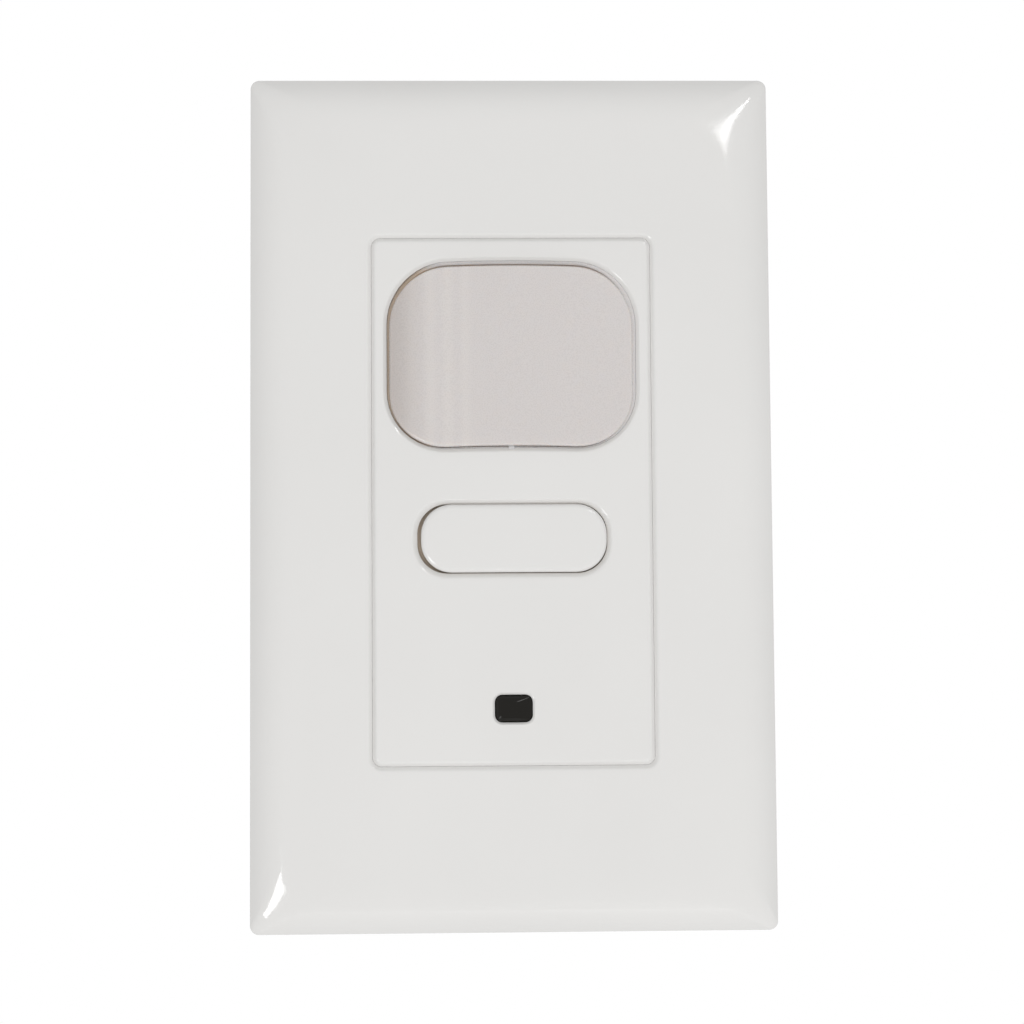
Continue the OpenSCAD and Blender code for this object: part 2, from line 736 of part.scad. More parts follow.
// Front cover: the face with the lens, button and window openings
module front_cover() {
    color("white") facing_room() difference() {
        union() {
            rounded_block(cover_w, cover_h, cover_corner_r, flange_z, cover_z);
            rounded_block(2 * ledge_x, 2 * ledge_y, cover_corner_r, flange_z, ledge_z);
        }
        rounded_block(2 * skirt_x, 2 * skirt_y, cover_corner_r / 2, flange_z - cut, cover_under_z);
        translate([0, lens_y, 0]) rounded_block(lens_w + 2 * lens_gap, lens_h + 2 * lens_gap,
            lens_corner_r + lens_gap, flange_z, cover_z + cut);
        translate([0, button_y, 0]) rounded_block(button_w + 2 * button_gap, button_h + 2 * button_gap,
            button_corner_r + button_gap, flange_z, cover_z + cut);
        translate([0, window_y, 0]) rounded_block(window_w + 2 * window_gap, window_h + 2 * window_gap,
            window_corner_r + window_gap, flange_z, cover_z + cut);
        snap_nubs(slip);
    }
}

// Nubs on the front housing, or with a gap the pockets for them in the cover
module snap_nubs(gap) {
    mid_z = (flange_z + plateau_z) / 2;
    at_places(four(plateau_x, snap_y))
        block(2 * (snap_grip + gap), snap_l + 2 * gap, mid_z - snap_h / 2 - gap, mid_z + snap_h / 2 + gap);
}

// Front housing: sits on the strap, seats the lens, guides the button, holds the control board
module front_housing() {
    color("whitesmoke") facing_room() difference() {
        union() {
            rounded_block(2 * flange_x, 2 * flange_y, cover_corner_r, strap_t, flange_z);
            rounded_block(2 * plateau_x, 2 * plateau_y, cover_corner_r / 2, strap_t, plateau_z);
            snap_nubs(0);
            for (s = [-1, 1]) translate([s * (strap_open_x - slip - rail_t / 2), 0, 0])
                block(rail_t, 2 * rail_y, -rail_d, flange_z);
            at_places(two_across(guide_spacing / 2, button_y))
                pin(spring_d + 2 * (end_gap + spring_seat_t), seat_z - spring_seat_t, flange_z);
            at_places(control_posts()) pin(post_d, control_z, flange_z);
            at_places(four(column_x, column_y)) pin(2 * boss_r, -boss_d, flange_z);
        }
        translate([0, lens_y, 0]) rounded_block(lens_w - 2 * lens_t, lens_h - 2 * lens_t,
            lens_corner_r - lens_t, control_z, plateau_z + cut);
        translate([0, button_y, 0]) {
            rounded_block(button_w + 2 * (button_flange_w + end_gap),
                button_h + 2 * (button_flange_w + end_gap),
                button_corner_r + button_flange_w, button_pocket_z, plateau_z + cut);
            pin(stem_d + 2 * end_gap, control_z, plateau_z);
            at_places(two_across(guide_spacing / 2, 0)) {
                pin(spring_d + 2 * end_gap, seat_z, plateau_z);
                pin(guide_pin_d + 2 * fit, control_z, plateau_z);
            }
        }
        translate([0, window_y, 0]) block(pipe_w + 2 * slip, pipe_h + 2 * slip, control_z, plateau_z + cut);
        at_places(two_across(trimmer_spacing / 2, trimmer_y)) pin(access_d, control_z, plateau_z + cut);
        at_places(four(column_x, column_y))
            pin(housing_screw_d + 2 * fit, -boss_d - cut, flange_z - flange_t / 2);
        at_places(control_posts()) pin(board_screw_d + 2 * fit, control_z - cut, control_z + board_screw_l);
    }
}

// Inside or outside of the lens: an outline cut off by the round front
module lens_body(inset, z0) {
    intersection() {
        translate([0, lens_y, 0]) rounded_block(lens_w - 2 * inset, lens_h - 2 * inset,
            lens_corner_r - inset, z0, lens_axis_z + lens_curve_r + cut);
        translate([0, lens_y, lens_axis_z]) rotate([90, 0, 0])
            cylinder(r = lens_curve_r - inset, h = 2 * lens_h, center = true, $fn = 360);
    }
}

// Milky lens shell with its flange, its locating rib and the grooves between its segments
module fresnel_lens() {
    half_angle = asin((lens_w / 2 - lens_t) / lens_curve_r);
    color("lightgray") facing_room() difference() {
        union() {
            lens_body(0, plateau_z);
            translate([0, lens_y, 0]) rounded_block(2 * lens_flange_x, lens_h + 2 * lens_flange_w,
                lens_corner_r, plateau_z, plateau_z + lens_flange_t);
            translate([0, lens_foot_y, 0])
                block(lens_rib_w, 2 * (lens_gap - seat_gap), plateau_z, cover_z - end_gap);
        }
        lens_body(lens_t, plateau_z - cut);
        for (i = [1:lens_segments - 1])
            translate([0, lens_y, lens_axis_z])
                rotate([0, (2 * i / lens_segments - 1) * half_angle, 0])
                    translate([0, 0, lens_curve_r - lens_t]) rotate([0, 45, 0])
                        cube([lens_groove, lens_h - 4 * lens_t, lens_groove], center = true);
    }
}

// Button cap with its retaining flange, two guide pins and the stem
module push_button() {
    color("white") facing_room() translate([0, button_y, 0]) {
        difference() {
            union() {
                rounded_block(button_w, button_h, button_corner_r, button_foot_z, button_z);
                rounded_block(button_w + 2 * button_flange_w, button_h + 2 * button_flange_w,
                    button_corner_r + button_flange_w / 2, button_foot_z, button_flange_z);
            }
            rounded_block(button_w - 2 * button_t, button_h - 2 * button_t, button_corner_r - button_t,
                button_foot_z - cut, button_ceiling_z);
        }
        at_places(two_across(guide_spacing / 2, 0))
            pin(guide_pin_d, seat_z - spring_seat_t - end_gap, button_ceiling_z + button_t / 2);
        pin(stem_d, plunger_z + fit, button_ceiling_z + button_t / 2);
    }
}

// Points of one ring of wire, i rings along a spring of n rings
function spring_ring(i, n, z0, z1, sides) =
    let (a = 360 * spring_turns * i / n, r = (spring_d - spring_wire_d) / 2, z = z0 + (z1 - z0) * i / n)
    [for (k = [0:sides - 1]) let (b = 360 * k / sides, reach = r + spring_wire_d / 2 * cos(b))
        [reach * cos(a), reach * sin(a), z + spring_wire_d / 2 * sin(b)]];

// Triangles between each ring and the next, and over both ends
function spring_faces(n, sides) = concat(
    [for (i = [0:n - 1], k = [0:sides - 1]) let (m = (k + 1) % sides)
        [i * sides + k, i * sides + m, (i + 1) * sides + k]],
    [for (i = [0:n - 1], k = [0:sides - 1]) let (m = (k + 1) % sides)
        [i * sides + m, (i + 1) * sides + m, (i + 1) * sides + k]],
    [for (k = [1:sides - 2]) [0, k + 1, k]],
    [for (k = [1:sides - 2]) [n * sides, n * sides + k, n * sides + k + 1]]);

// Return springs round the guide pins, from their seats to the button's inner face
module button_springs() {
    rings = ceil(8 * spring_turns);
    sides = 6;
    z0 = seat_z + spring_wire_d / 2 + fit;
    z1 = button_ceiling_z - spring_wire_d / 2 - fit;
    color("silver") facing_room() at_places(two_across(guide_spacing / 2, button_y))
        polyhedron([for (i = [0:rings]) each spring_ring(i, rings, z0, z1, sides)],
            spring_faces(rings, sides));
}

// Dark window with its flange and the light pipe down to the photocell
module photocell_window() {
    color([0.15, 0.14, 0.12]) facing_room() translate([0, window_y, 0]) {
        rounded_block(window_w, window_h, window_corner_r, plateau_z, window_z);
        rounded_block(window_w + 2 * window_flange_w, window_h + 2 * window_flange_w, window_corner_r,
            plateau_z, cover_under_z - seat_gap);
        block(pipe_w, pipe_h, control_z + photocell_h + seat_gap, plateau_z + seat_gap);
    }
}

module leads(places, z0, z1) {
    at_places(places) pin(lead_d, z0, z1);
}

module photocell() {
    color("darkkhaki") facing_room() {
        translate([0, window_y, 0]) pin(photocell_d, control_z, control_z + photocell_h);
        leads(photocell_leads(), control_back_z - lead_tail, control_z + photocell_h / 2);
    }
}

// Infrared sensor in its metal can, with the recess for its window
module pir_sensor() {
    color("silver") facing_room() {
        translate([0, lens_y, 0]) difference() {
            union() {
                pin(pir_base_d, pir_z, pir_z + pir_base_t);
                pin(pir_can_d, pir_z, can_z);
            }
            block(pir_filter_w, pir_filter_h, can_z - pir_base_t, can_z + cut);
        }
        leads(pir_leads(), control_back_z - lead_tail, pir_z + pir_base_t / 2);
    }
}

module pir_filter() {
    color("dimgray") facing_room() translate([0, lens_y, 0])
        block(pir_filter_w - 2 * fit, pir_filter_h - 2 * fit, can_z - pir_base_t, can_z - fit);
}

// Ring that lifts the sensor off the board
module pir_collar() {
    color("black") facing_room() translate([0, lens_y, 0]) difference() {
        pin(pir_base_d, control_z, pir_z);
        pin(pir_lead_circle + 2 * lead_d + end_gap, control_z - cut, pir_z + cut);
    }
}

module indicator_led() {
    color("crimson") facing_room() {
        translate([led_x, led_y, 0]) {
            pin(led_d + 2 * end_gap, control_z, control_z + led_d / 3);
            pin(led_d, control_z, control_z + led_h);
            translate([0, 0, control_z + led_h]) sphere(d = led_d);
        }
        leads(led_leads(), control_back_z - lead_tail, control_z + led_d / 4);
    }
}

// Outline of a board, notched for the screw columns
module board_outline() {
    difference() {
        square([2 * board_x, 2 * board_y], center = true);
        at_places(four(column_x, column_y)) circle(r = notch_r);
        for (p = four(column_x, column_y)) {
            translate([p[0] * (1 + board_x / column_x) / 2, p[1], 0])
                square([board_x - column_x + cut, 2 * notch_r], center = true);
            translate([p[0], p[1] + sign(p[1]) * notch_r / 2, 0])
                square([2 * notch_r, notch_r], center = true);
        }
    }
}

module lead_holes(places, z0, z1) {
    at_places(places) pin(lead_d + 2 * slip, z0 - cut, z1 + cut);
}

module control_board() {
    color("forestgreen") facing_room() difference() {
        translate([0, 0, control_back_z]) linear_extrude(board_t) board_outline();
        at_places(control_posts()) pin(board_screw_d + 2 * slip, control_back_z - cut, control_z + cut);
        lead_holes(concat(pir_leads(), led_leads(), photocell_leads()), control_back_z, control_z);
    }
}

// A board screw that points along +z, with its head under z = 0
module board_screw() {
    difference() {
        union() {
            pin(board_screw_d, -board_screw_head_h / 2, board_screw_l);
            pin(board_screw_head_d, -board_screw_head_h, 0);
        }
        drive_cross(board_screw_head_d, -board_screw_head_h - cut, -board_screw_head_h / 2);
    }
}

module board_screws() {
    color("silver") facing_room() {
        at_places(control_posts()) translate([0, 0, control_back_z]) board_screw();
        at_places(power_posts()) translate([0, 0, power_z]) mirror([0, 0, 1]) board_screw();
    }
}

// Control chip on the back of the control board, with its legs
module control_chip() {
    legs = 7;
    pitch = 1.27;
    leg_w = 0.42;
    leg_out = 1.4;
    color([0.16, 0.16, 0.17]) facing_room() translate([0, trimmer_y, control_back_z]) {
        block(chip_size[0], chip_size[1], -chip_size[2], -leg_w / 2);
        for (i = [0:legs - 1])
            translate([0, (i - (legs - 1) / 2) * pitch, 0]) {
                block(chip_size[0] + 2 * leg_out, leg_w, -leg_w, 0);
                block(chip_size[0] + leg_out, leg_w, -chip_size[2] / 2, 0);
            }
    }
}

module tact_switch_body() {
    color([0.2, 0.2, 0.21]) facing_room() translate([0, button_y, 0]) difference() {
        block(tact_w, tact_w, control_z, tact_z);
        pin(plunger_d + 2 * fit, tact_z - plunger_in - button_travel - end_gap, tact_z + cut);
    }
}

module tact_plunger() {
    color("dimgray") facing_room() translate([0, button_y, 0]) pin(plunger_d, tact_z - plunger_in, plunger_z);
}

module trimmer_body(x) {
    color("royalblue") facing_room() translate([x, trimmer_y, 0]) difference() {
        block(trimmer_w, trimmer_w, control_z, trimmer_z);
        pin(rotor_d + 2 * fit, trimmer_z - rotor_in, trimmer_z + cut);
    }
}

module trimmer_rotor(x) {
    color("white") facing_room() translate([x, trimmer_y, 0]) difference() {
        pin(rotor_d, trimmer_z - rotor_in + fit, trimmer_z + rotor_out);
        drive_cross(rotor_d, trimmer_z - rotor_out, trimmer_z + rotor_out + cut);
    }
}

module time_trimmer_body() {
    trimmer_body(-trimmer_spacing / 2);
}

module time_trimmer_rotor() {
    trimmer_rotor(-trimmer_spacing / 2);
}

module light_trimmer_body() {
    trimmer_body(trimmer_spacing / 2);
}

module light_trimmer_rotor() {
    trimmer_rotor(trimmer_spacing / 2);
}

// Socket on the back of the control board for the pins of the power board
module link_socket() {
    color("black") facing_room() difference() {
        translate([0, link_y, 0]) block(link_w, link_pitch, link_socket_z, control_back_z);
        at_places(link_places()) block(link_pin_w + 2 * slip, link_pin_w + 2 * slip, link_socket_z - cut,
            control_back_z - board_t / 2);
    }
}

module link_header() {
    color("goldenrod") facing_room() {
        translate([0, link_y, 0]) block(link_w, link_pitch, power_z, power_z + link_pitch);
        at_places(link_places()) block(link_pin_w, link_pin_w, power_back_z - lead_tail,
            control_back_z - board_t);
    }
}

// Tube round the inside of the switch, with its screw columns and terminal pockets
module housing_body() {
    color("lightgray") facing_room() difference() {
        union() {
            difference() {
                rounded_block(body_w, body_h, body_corner_r, split_z, 0);
                rounded_block(2 * inner_x, 2 * inner_y, body_corner_r / 2, split_z - cut, cut);
            }
            intersection() {
                rounded_block(body_w, body_h, body_corner_r, split_z, 0);
                union() {
                    at_places(four(column_x, column_y)) pin(column_d, split_z, -boss_d - slip);
                    for (p = terminal_places) pocket(p, pocket_wall, 0);
                }
            }
        }
        for (p = terminal_places) {
            pocket(p, 0, cut);
            terminal_place(p) {
                cross_pin(terminal_screw_d + 2 * slip, -pocket_wall / 2 - 2 * slip, cut);
                translate([terminal_t / 2, 0, 0]) block(terminal_t + 2 * slip, terminal_tail_w + 2 * slip,
                    pocket_foot_z - pocket_wall - cut - pocket_mid_z(), 0);
            }
        }
        at_places(four(column_x, column_y)) {
            pin(housing_screw_d + 2 * slip, split_z - cut, 0);
            pin(2 * (boss_r + slip), -boss_d - slip, cut);
        }
    }
}

function pocket_mid_z() = pocket_z - pocket_l / 2;

// A terminal's place: the middle of its pocket's floor, x pointing out of the side
module terminal_place(p) {
    translate([0, p[1], pocket_mid_z()]) mirror([p[0] < 0 ? 1 : 0, 0, 0])
        translate([terminal_plate_x, 0, 0]) children();
}

// A pocket for a terminal, larger all round by the wall, open past the side by reach
module pocket(p, wall, reach) {
    terminal_place(p) translate([-wall, -pocket_w / 2 - wall, -pocket_l / 2 - wall])
        cube([pocket_d + wall + reach, pocket_w + 2 * wall, pocket_l + 2 * wall]);
}

// Back of the switch: a tray with a locating lip, board posts and recesses for the screws
module back_cover() {
    color("lightgray") facing_room() difference() {
        union() {
            difference() {
                rounded_block(body_w, body_h, body_corner_r, back_z, split_z);
                rounded_block(2 * inner_x, 2 * inner_y, body_corner_r / 2, floor_z, split_z + cut);
            }
            difference() {
                rounded_block(2 * (inner_x - slip), 2 * (inner_y - slip), body_corner_r / 2, floor_z,
                    split_z + back_lip_h);
                rounded_block(2 * (inner_x - slip - back_lip_t), 2 * (inner_y - slip - back_lip_t),
                    body_corner_r / 2, floor_z - cut, split_z + back_lip_h + cut);
                at_places(four(column_x, column_y)) pin(column_d + 2 * slip, split_z, split_z + body_d);
            }
            difference() {
                rounded_block(2 * (inner_x - slip / 2), 2 * (inner_y - slip / 2), body_corner_r / 2, floor_z,
                    split_z);
                rounded_block(2 * (inner_x - slip - back_lip_t), 2 * (inner_y - slip - back_lip_t),
                    body_corner_r / 2, floor_z - cut, split_z + cut);
            }
            intersection() {
                rounded_block(body_w, body_h, body_corner_r, back_z, split_z);
                at_places(four(column_x, column_y))
                    pin(housing_screw_head_d + 2 * body_wall, back_z, split_z);
            }
            at_places(power_posts()) pin(post_d, back_z + body_wall / 2, power_back_z);
        }
        at_places(four(column_x, column_y)) {
            pin(housing_screw_d + 2 * slip, back_z - cut, split_z + cut);
            pin(housing_screw_head_d + 2 * slip, back_z - cut, back_z + housing_screw_head_h + slip);
        }
        at_places(power_posts()) pin(board_screw_d + 2 * fit, power_z - board_screw_l, power_z);
    }
}

module housing_screws() {
    head_z = back_z + housing_screw_head_h + slip;
    color("silver") facing_room() at_places(four(column_x, column_y)) difference() {
        union() {
            pin(housing_screw_d, head_z - housing_screw_head_h / 2, flange_z - flange_t / 2 - fit);
            pin(housing_screw_head_d, head_z - housing_screw_head_h, head_z);
        }
        drive_cross(housing_screw_head_d, back_z - cut, head_z - housing_screw_head_h / 2);
    }
}

// Terminal plate on its pocket's floor, with a tail through the pocket's wall to the power board
module terminal_plate(p) {
    terminal_place(p) difference() {
        union() {
            translate([terminal_t / 2, 0, 0])
                block(terminal_t, pocket_w - 2 * terminal_margin, -pocket_l / 2 + terminal_margin,
                    pocket_l / 2 - terminal_margin);
            translate([terminal_t / 2, 0, 0])
                block(terminal_t, terminal_tail_w, power_back_z - lead_tail - pocket_mid_z(), 0);
        }
        cross_pin(terminal_screw_d + 2 * fit, -cut, terminal_t + cut);
    }
}

module terminal_screw(p) {
    terminal_place(p) translate([terminal_t, 0, 0])
        side_screw(terminal_screw_d, terminal_t + pocket_wall / 2, terminal_head_d, terminal_head_h);
}

module terminal_plates() {
    color("darkgoldenrod") facing_room() for (p = brass_places) terminal_plate(p);
}

module terminal_screws() {
    color("gold") facing_room() for (p = brass_places) terminal_screw(p);
}

module neutral_plate() {
    color("silver") facing_room() for (p = neutral_places) terminal_plate(p);
}

module neutral_screw() {
    color("silver") facing_room() for (p = neutral_places) terminal_screw(p);
}

module power_board() {
    places = concat(relay_leads(), film_leads(), electrolytic_leads(), varistor_leads(), resistor_leads(),
        bridge_leads());
    color("forestgreen") facing_room() difference() {
        translate([0, 0, power_back_z]) linear_extrude(board_t) board_outline();
        at_places(power_posts()) pin(board_screw_d + 2 * slip, power_back_z - cut, power_z + cut);
        lead_holes(places, power_back_z, power_z);
        at_places(link_places()) block(link_pin_w + 2 * slip, link_pin_w + 2 * slip, power_back_z - cut,
            power_z + cut);
        for (p = terminal_places) terminal_place(p)
            translate([pocket_d / 2 - slip, 0, 0]) block(pocket_d, terminal_tail_w + 2 * slip,
                power_back_z - cut - pocket_mid_z(), power_z + cut - pocket_mid_z());
    }
}

module on_relay() {
    facing_room() translate([relay_at[0], relay_at[1], 0]) children();
}

module relay_base() {
    color("black") {
        on_relay() block(relay_w - 2 * (relay_wall + fit), relay_l - 2 * (relay_wall + fit), power_z,
            relay_base_z);
        facing_room() leads(relay_leads(), power_back_z - lead_tail, power_z + relay_base_t / 2);
    }
}

module relay_case() {
    color("steelblue") on_relay() difference() {
        block(relay_w, relay_l, power_z + fit, power_z + relay_h);
        block(relay_w - 2 * relay_wall, relay_l - 2 * relay_wall, power_z - cut,
            power_z + relay_h - relay_wall);
    }
}

// Bobbin and winding round the core
module relay_coil() {
    color("peru") on_relay() translate([0, coil_y, 0]) difference() {
        union() {
            pin(coil_flange_d, coil_z, coil_z + relay_wall);
            pin(coil_d, coil_z, coil_z + coil_h);
            pin(coil_flange_d, coil_z + coil_h - relay_wall, coil_z + coil_h);
        }
        pin(core_d + 2 * fit, coil_z - cut, coil_z + coil_h + cut);
    }
}

// Iron yoke: foot, back plate, pivot ears and the core
module relay_yoke() {
    color("slategray") on_relay() difference() {
        union() {
            translate([0, (pivot_y + yoke_t / 2 + coil_y - core_d) / 2, 0])
                block(2 * armature_x, pivot_y + yoke_t / 2 - coil_y + core_d, relay_base_z, coil_z);
            translate([0, pivot_y, 0]) block(2 * (ear_x + yoke_t), yoke_t, relay_base_z, core_z - end_gap);
            for (s = [-1, 1]) translate([s * (ear_x + yoke_t / 2), pivot_y, 0])
                block(yoke_t, yoke_t + pivot_d / 2, core_z - 2 * yoke_t, pivot_z + pivot_d / 2 + end_gap);
            translate([0, coil_y, 0]) pin(core_d, relay_base_z, core_z);
        }
        translate([0, pivot_y, pivot_z])
            cross_pin(pivot_d + 2 * fit, -relay_w / 2, relay_w / 2);
    }
}

// Armature with its pivot pin and the moving contact
module relay_armature() {
    color("lightslategray") on_relay() {
        translate([0, (pivot_y + armature_end_y) / 2, 0])
            block(2 * armature_x, pivot_y - armature_end_y, armature_z, armature_z + armature_t);
        translate([0, pivot_y, pivot_z]) cross_pin(pivot_d, -ear_x - yoke_t, ear_x + yoke_t);
        translate([0, contact_y, 0]) pin(contact_d, armature_z - contact_t, armature_z + armature_t / 2);
    }
}

module relay_fixed_contact() {
    color("darkgoldenrod") on_relay() translate([0, contact_y, 0]) {
        block(contact_d, contact_d / 2, relay_base_z, fixed_contact_z - contact_t / 2);
        pin(contact_d, fixed_contact_z - contact_t, fixed_contact_z);
    }
}

module film_capacitor() {
    color("goldenrod") facing_room() {
        translate([film_at[0], film_at[1], 0])
            block(film_size[0], film_size[1], power_z, power_z + film_size[2]);
        leads(film_leads(), power_back_z - lead_tail, power_z + lead_d);
    }
}

// Capacitor can with the rolled groove over its bung
module electrolytic_capacitor() {
    groove = electrolytic_d / 16;
    color("midnightblue") facing_room() {
        translate([electrolytic_at[0], electrolytic_at[1], 0]) difference() {
            pin(electrolytic_d, power_z, power_z + electrolytic_h);
            translate([0, 0, power_z + 4 * groove]) rotate_extrude()
                translate([electrolytic_d / 2, 0, 0]) circle(r = groove);
        }
        leads(electrolytic_leads(), power_back_z - lead_tail, power_z + lead_d);
    }
}

// Disc that stands on its two leads
module varistor() {
    mid_z = power_z + lead_d + varistor_d / 2;
    color("deepskyblue") facing_room() {
        translate([varistor_at[0], varistor_at[1], mid_z]) rotate([90, 0, 0])
            cylinder(d = varistor_d, h = varistor_t, center = true);
        leads(varistor_leads(), power_back_z - lead_tail, mid_z);
    }
}

// Resistor that lies on its bent leads
module fusible_resistor() {
    mid_z = power_z + lead_d + resistor_d / 2;
    color("tan") facing_room() {
        translate([resistor_at[0], resistor_at[1], mid_z]) rotate([90, 0, 0]) {
            cylinder(d = resistor_d, h = resistor_l, center = true);
            cylinder(d = lead_d, h = resistor_l + 2 * lead_margin + lead_d, center = true);
        }
        leads(resistor_leads(), power_back_z - lead_tail, mid_z + lead_d / 2);
    }
}

module bridge_rectifier() {
    color([0.14, 0.14, 0.15]) facing_room() {
        translate([bridge_at[0], bridge_at[1], 0])
            block(bridge_size[0], bridge_size[1], power_z, power_z + bridge_size[2]);
        leads(bridge_leads(), power_back_z - lead_tail, power_z + lead_d);
    }
}

wall_plate();
plate_frame();
plate_frame_screws();
mounting_strap();
ground_screw();
front_cover();
front_housing();
fresnel_lens();
push_button();
button_springs();
photocell_window();
photocell();
pir_sensor();
pir_filter();
pir_collar();
indicator_led();
control_board();
board_screws();
control_chip();
tact_switch_body();
tact_plunger();
time_trimmer_body();
time_trimmer_rotor();
light_trimmer_body();
light_trimmer_rotor();
link_socket();
link_header();
housing_body();
back_cover();
housing_screws();
terminal_plates();
terminal_screws();
neutral_plate();
neutral_screw();
power_board();
relay_base();
relay_case();
relay_coil();
relay_yoke();
relay_armature();
relay_fixed_contact();
film_capacitor();
electrolytic_capacitor();
varistor();
fusible_resistor();
bridge_rectifier();
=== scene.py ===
"""Looks of the motion sensor light switch: its meshes, finishes, light and camera.

Shapes are worked out in millimetres in a drawing frame, with x to the right, y up the wall and
z out of the wall. to_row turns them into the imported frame's metres, where the front looks along -Y.
"""

import json
import logging
import math
from dataclasses import dataclass, replace
from enum import Enum
from typing import Sequence

import bmesh
import bpy
import numpy as np
from bpy.types import ID, Material, Node, NodeSocket, NodeTree, Object
from mathutils import Matrix, Vector


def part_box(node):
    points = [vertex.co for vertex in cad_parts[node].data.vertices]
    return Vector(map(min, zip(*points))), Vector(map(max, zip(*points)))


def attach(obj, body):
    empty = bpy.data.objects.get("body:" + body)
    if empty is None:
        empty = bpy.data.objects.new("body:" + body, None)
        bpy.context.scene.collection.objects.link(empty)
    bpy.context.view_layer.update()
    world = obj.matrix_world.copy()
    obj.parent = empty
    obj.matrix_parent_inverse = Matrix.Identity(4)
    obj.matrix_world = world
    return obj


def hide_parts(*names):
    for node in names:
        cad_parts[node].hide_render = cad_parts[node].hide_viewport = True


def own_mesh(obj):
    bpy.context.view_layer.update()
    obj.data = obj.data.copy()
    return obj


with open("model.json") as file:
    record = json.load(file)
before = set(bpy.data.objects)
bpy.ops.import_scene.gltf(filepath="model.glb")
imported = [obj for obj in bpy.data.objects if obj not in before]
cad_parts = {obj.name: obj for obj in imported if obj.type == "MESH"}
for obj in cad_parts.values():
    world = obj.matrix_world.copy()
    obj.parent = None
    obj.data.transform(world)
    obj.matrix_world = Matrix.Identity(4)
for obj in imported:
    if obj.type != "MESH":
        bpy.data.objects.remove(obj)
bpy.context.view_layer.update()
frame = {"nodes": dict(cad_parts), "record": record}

LOG = logging.getLogger("motion_switch")
PHOTO_PIXELS = 1024
MM = 0.001
TINY = 1e-9
MERGE_M = 2e-6
CRISP_ANGLE = 38.0
ROUNDING_SHARE = 0.96
CORNER_PIECES = 6
COAT_ROUGHNESS = 0.08
MILKY_REACH = (1.0, 0.8, 0.65)
BUMP_STRENGTH = 0.5
ACROSS = (1.0, 0.0, 0.0)
OUTWARD = (0.0, -1.0, 0.0)
WHITE = (1.0, 1.0, 1.0, 1.0)
Array = np.ndarray
Triple = tuple[float, float, float]
Span = tuple[float, float]


@dataclass(frozen=True)
class Ring:
    """One level of a profile: a rounded rectangle at a height, in millimetres.

    soft is how far the profile's corner at this level is rounded off, measured along its two sides,
    and arch is how far the middle of its level sides stands above their ends.
    """

    half_w: float
    half_h: float
    radius: float
    z: float = 0.0
    x: float = 0.0
    y: float = 0.0
    soft: float = 0.0
    arch: float = 0.0

    def row(self) -> list[float]:
        """The level's numbers in the order that Outline.loops reads them."""
        return [self.half_w, self.half_h, self.radius, self.z, self.x, self.y, self.arch]

    def at(self, z: float, soft: float = 0.0, grow: float = 0.0, **changes: float) -> "Ring":
        """The same outline at another height.

        Args:
            z: the height.
            soft: the rounding there.
            grow: how far the outline moves outwards, its corners with it.
            changes: other values that differ.

        Returns:
            The new level.
        """
        sizes = {"half_w": self.half_w + grow, "half_h": self.half_h + grow, "radius": self.radius + grow}
        return replace(self, z=z, soft=soft, **{**sizes, **changes})

    def spine(self) -> "Ring":
        """The line in the outline's middle, which closes a face."""
        return self.at(self.z, grow=-self.half_h, radius=0.0)


@dataclass(frozen=True)
class Patch:
    """Points in drawing millimetres and the faces that join them."""

    points: Array
    faces: list[list[int]]


def places(count: int) -> Array:
    """Even places between 0 and 1, without the two ends: i / (count + 1) for i from 1 to count."""
    return np.arange(1, count + 1) / (count + 1)


def ramp(value: Array, ends: Span) -> Array:
    """0 up to the first end, 1 past the second, and a straight rise between them."""
    return np.clip((value - ends[0]) / (ends[1] - ends[0]), 0.0, 1.0)


def eased(s: Array) -> Array:
    """A smooth step, s^2 (3 - 2 s), for s from 0 to 1."""
    return s ** 2 * (3 - 2 * s)


@dataclass(frozen=True)
class Outline:
    """How many points a rounded rectangle has, so that all the levels of a profile line up.

    across and along hold the places, from 0 to 1, of the points on the level and upright sides.
    """

    across: Array
    along: Array
    corner_steps: int = 12

    def loops(self, levels: Array) -> Array:
        """Draw every level as a closed loop, anticlockwise as seen from the room.

        A corner is middle + radius * (cos a, sin a) with a over a quarter turn, and a side runs
        straight between the ends of two corners. An arch adds arch * (1 - (x / half width)^2) to y.

        Args:
            levels: one row per level, as Ring.row gives it.

        Returns:
            Points, shaped (levels, points of a loop, 3).
        """
        half_w, half_h, radius, z, mid_x, mid_y, arch = np.split(levels, levels.shape[1], axis=1)
        run_x = half_w - radius
        run_y = half_h - radius
        quarter_turn = np.linspace(0.0, math.pi / 2, self.corner_steps + 1)
        up_side = run_y * (2 * self.along - 1)
        level_side = run_x * (2 * self.across - 1)
        upright = np.zeros_like(up_side)
        flat = np.zeros_like(level_side)
        side_x = (-level_side, upright - half_w, level_side, upright + half_w)
        side_y = (flat + half_h, up_side[:, ::-1], flat - half_h, up_side)
        xs = []
        ys = []
        for quarter, (sign_x, sign_y) in enumerate(((1, 1), (-1, 1), (-1, -1), (1, -1))):
            angle = quarter_turn + quarter * math.pi / 2
            xs += [sign_x * run_x + radius * np.cos(angle), side_x[quarter]]
            ys += [sign_y * run_y + radius * np.sin(angle), side_y[quarter]]
        x = np.concatenate(xs, axis=1)
        y = np.concatenate(ys, axis=1) + mid_y + arch * (1 - (x / np.maximum(half_w, TINY)) ** 2)
        return np.stack([x + mid_x, y, np.broadcast_to(z, x.shape)], axis=-1)


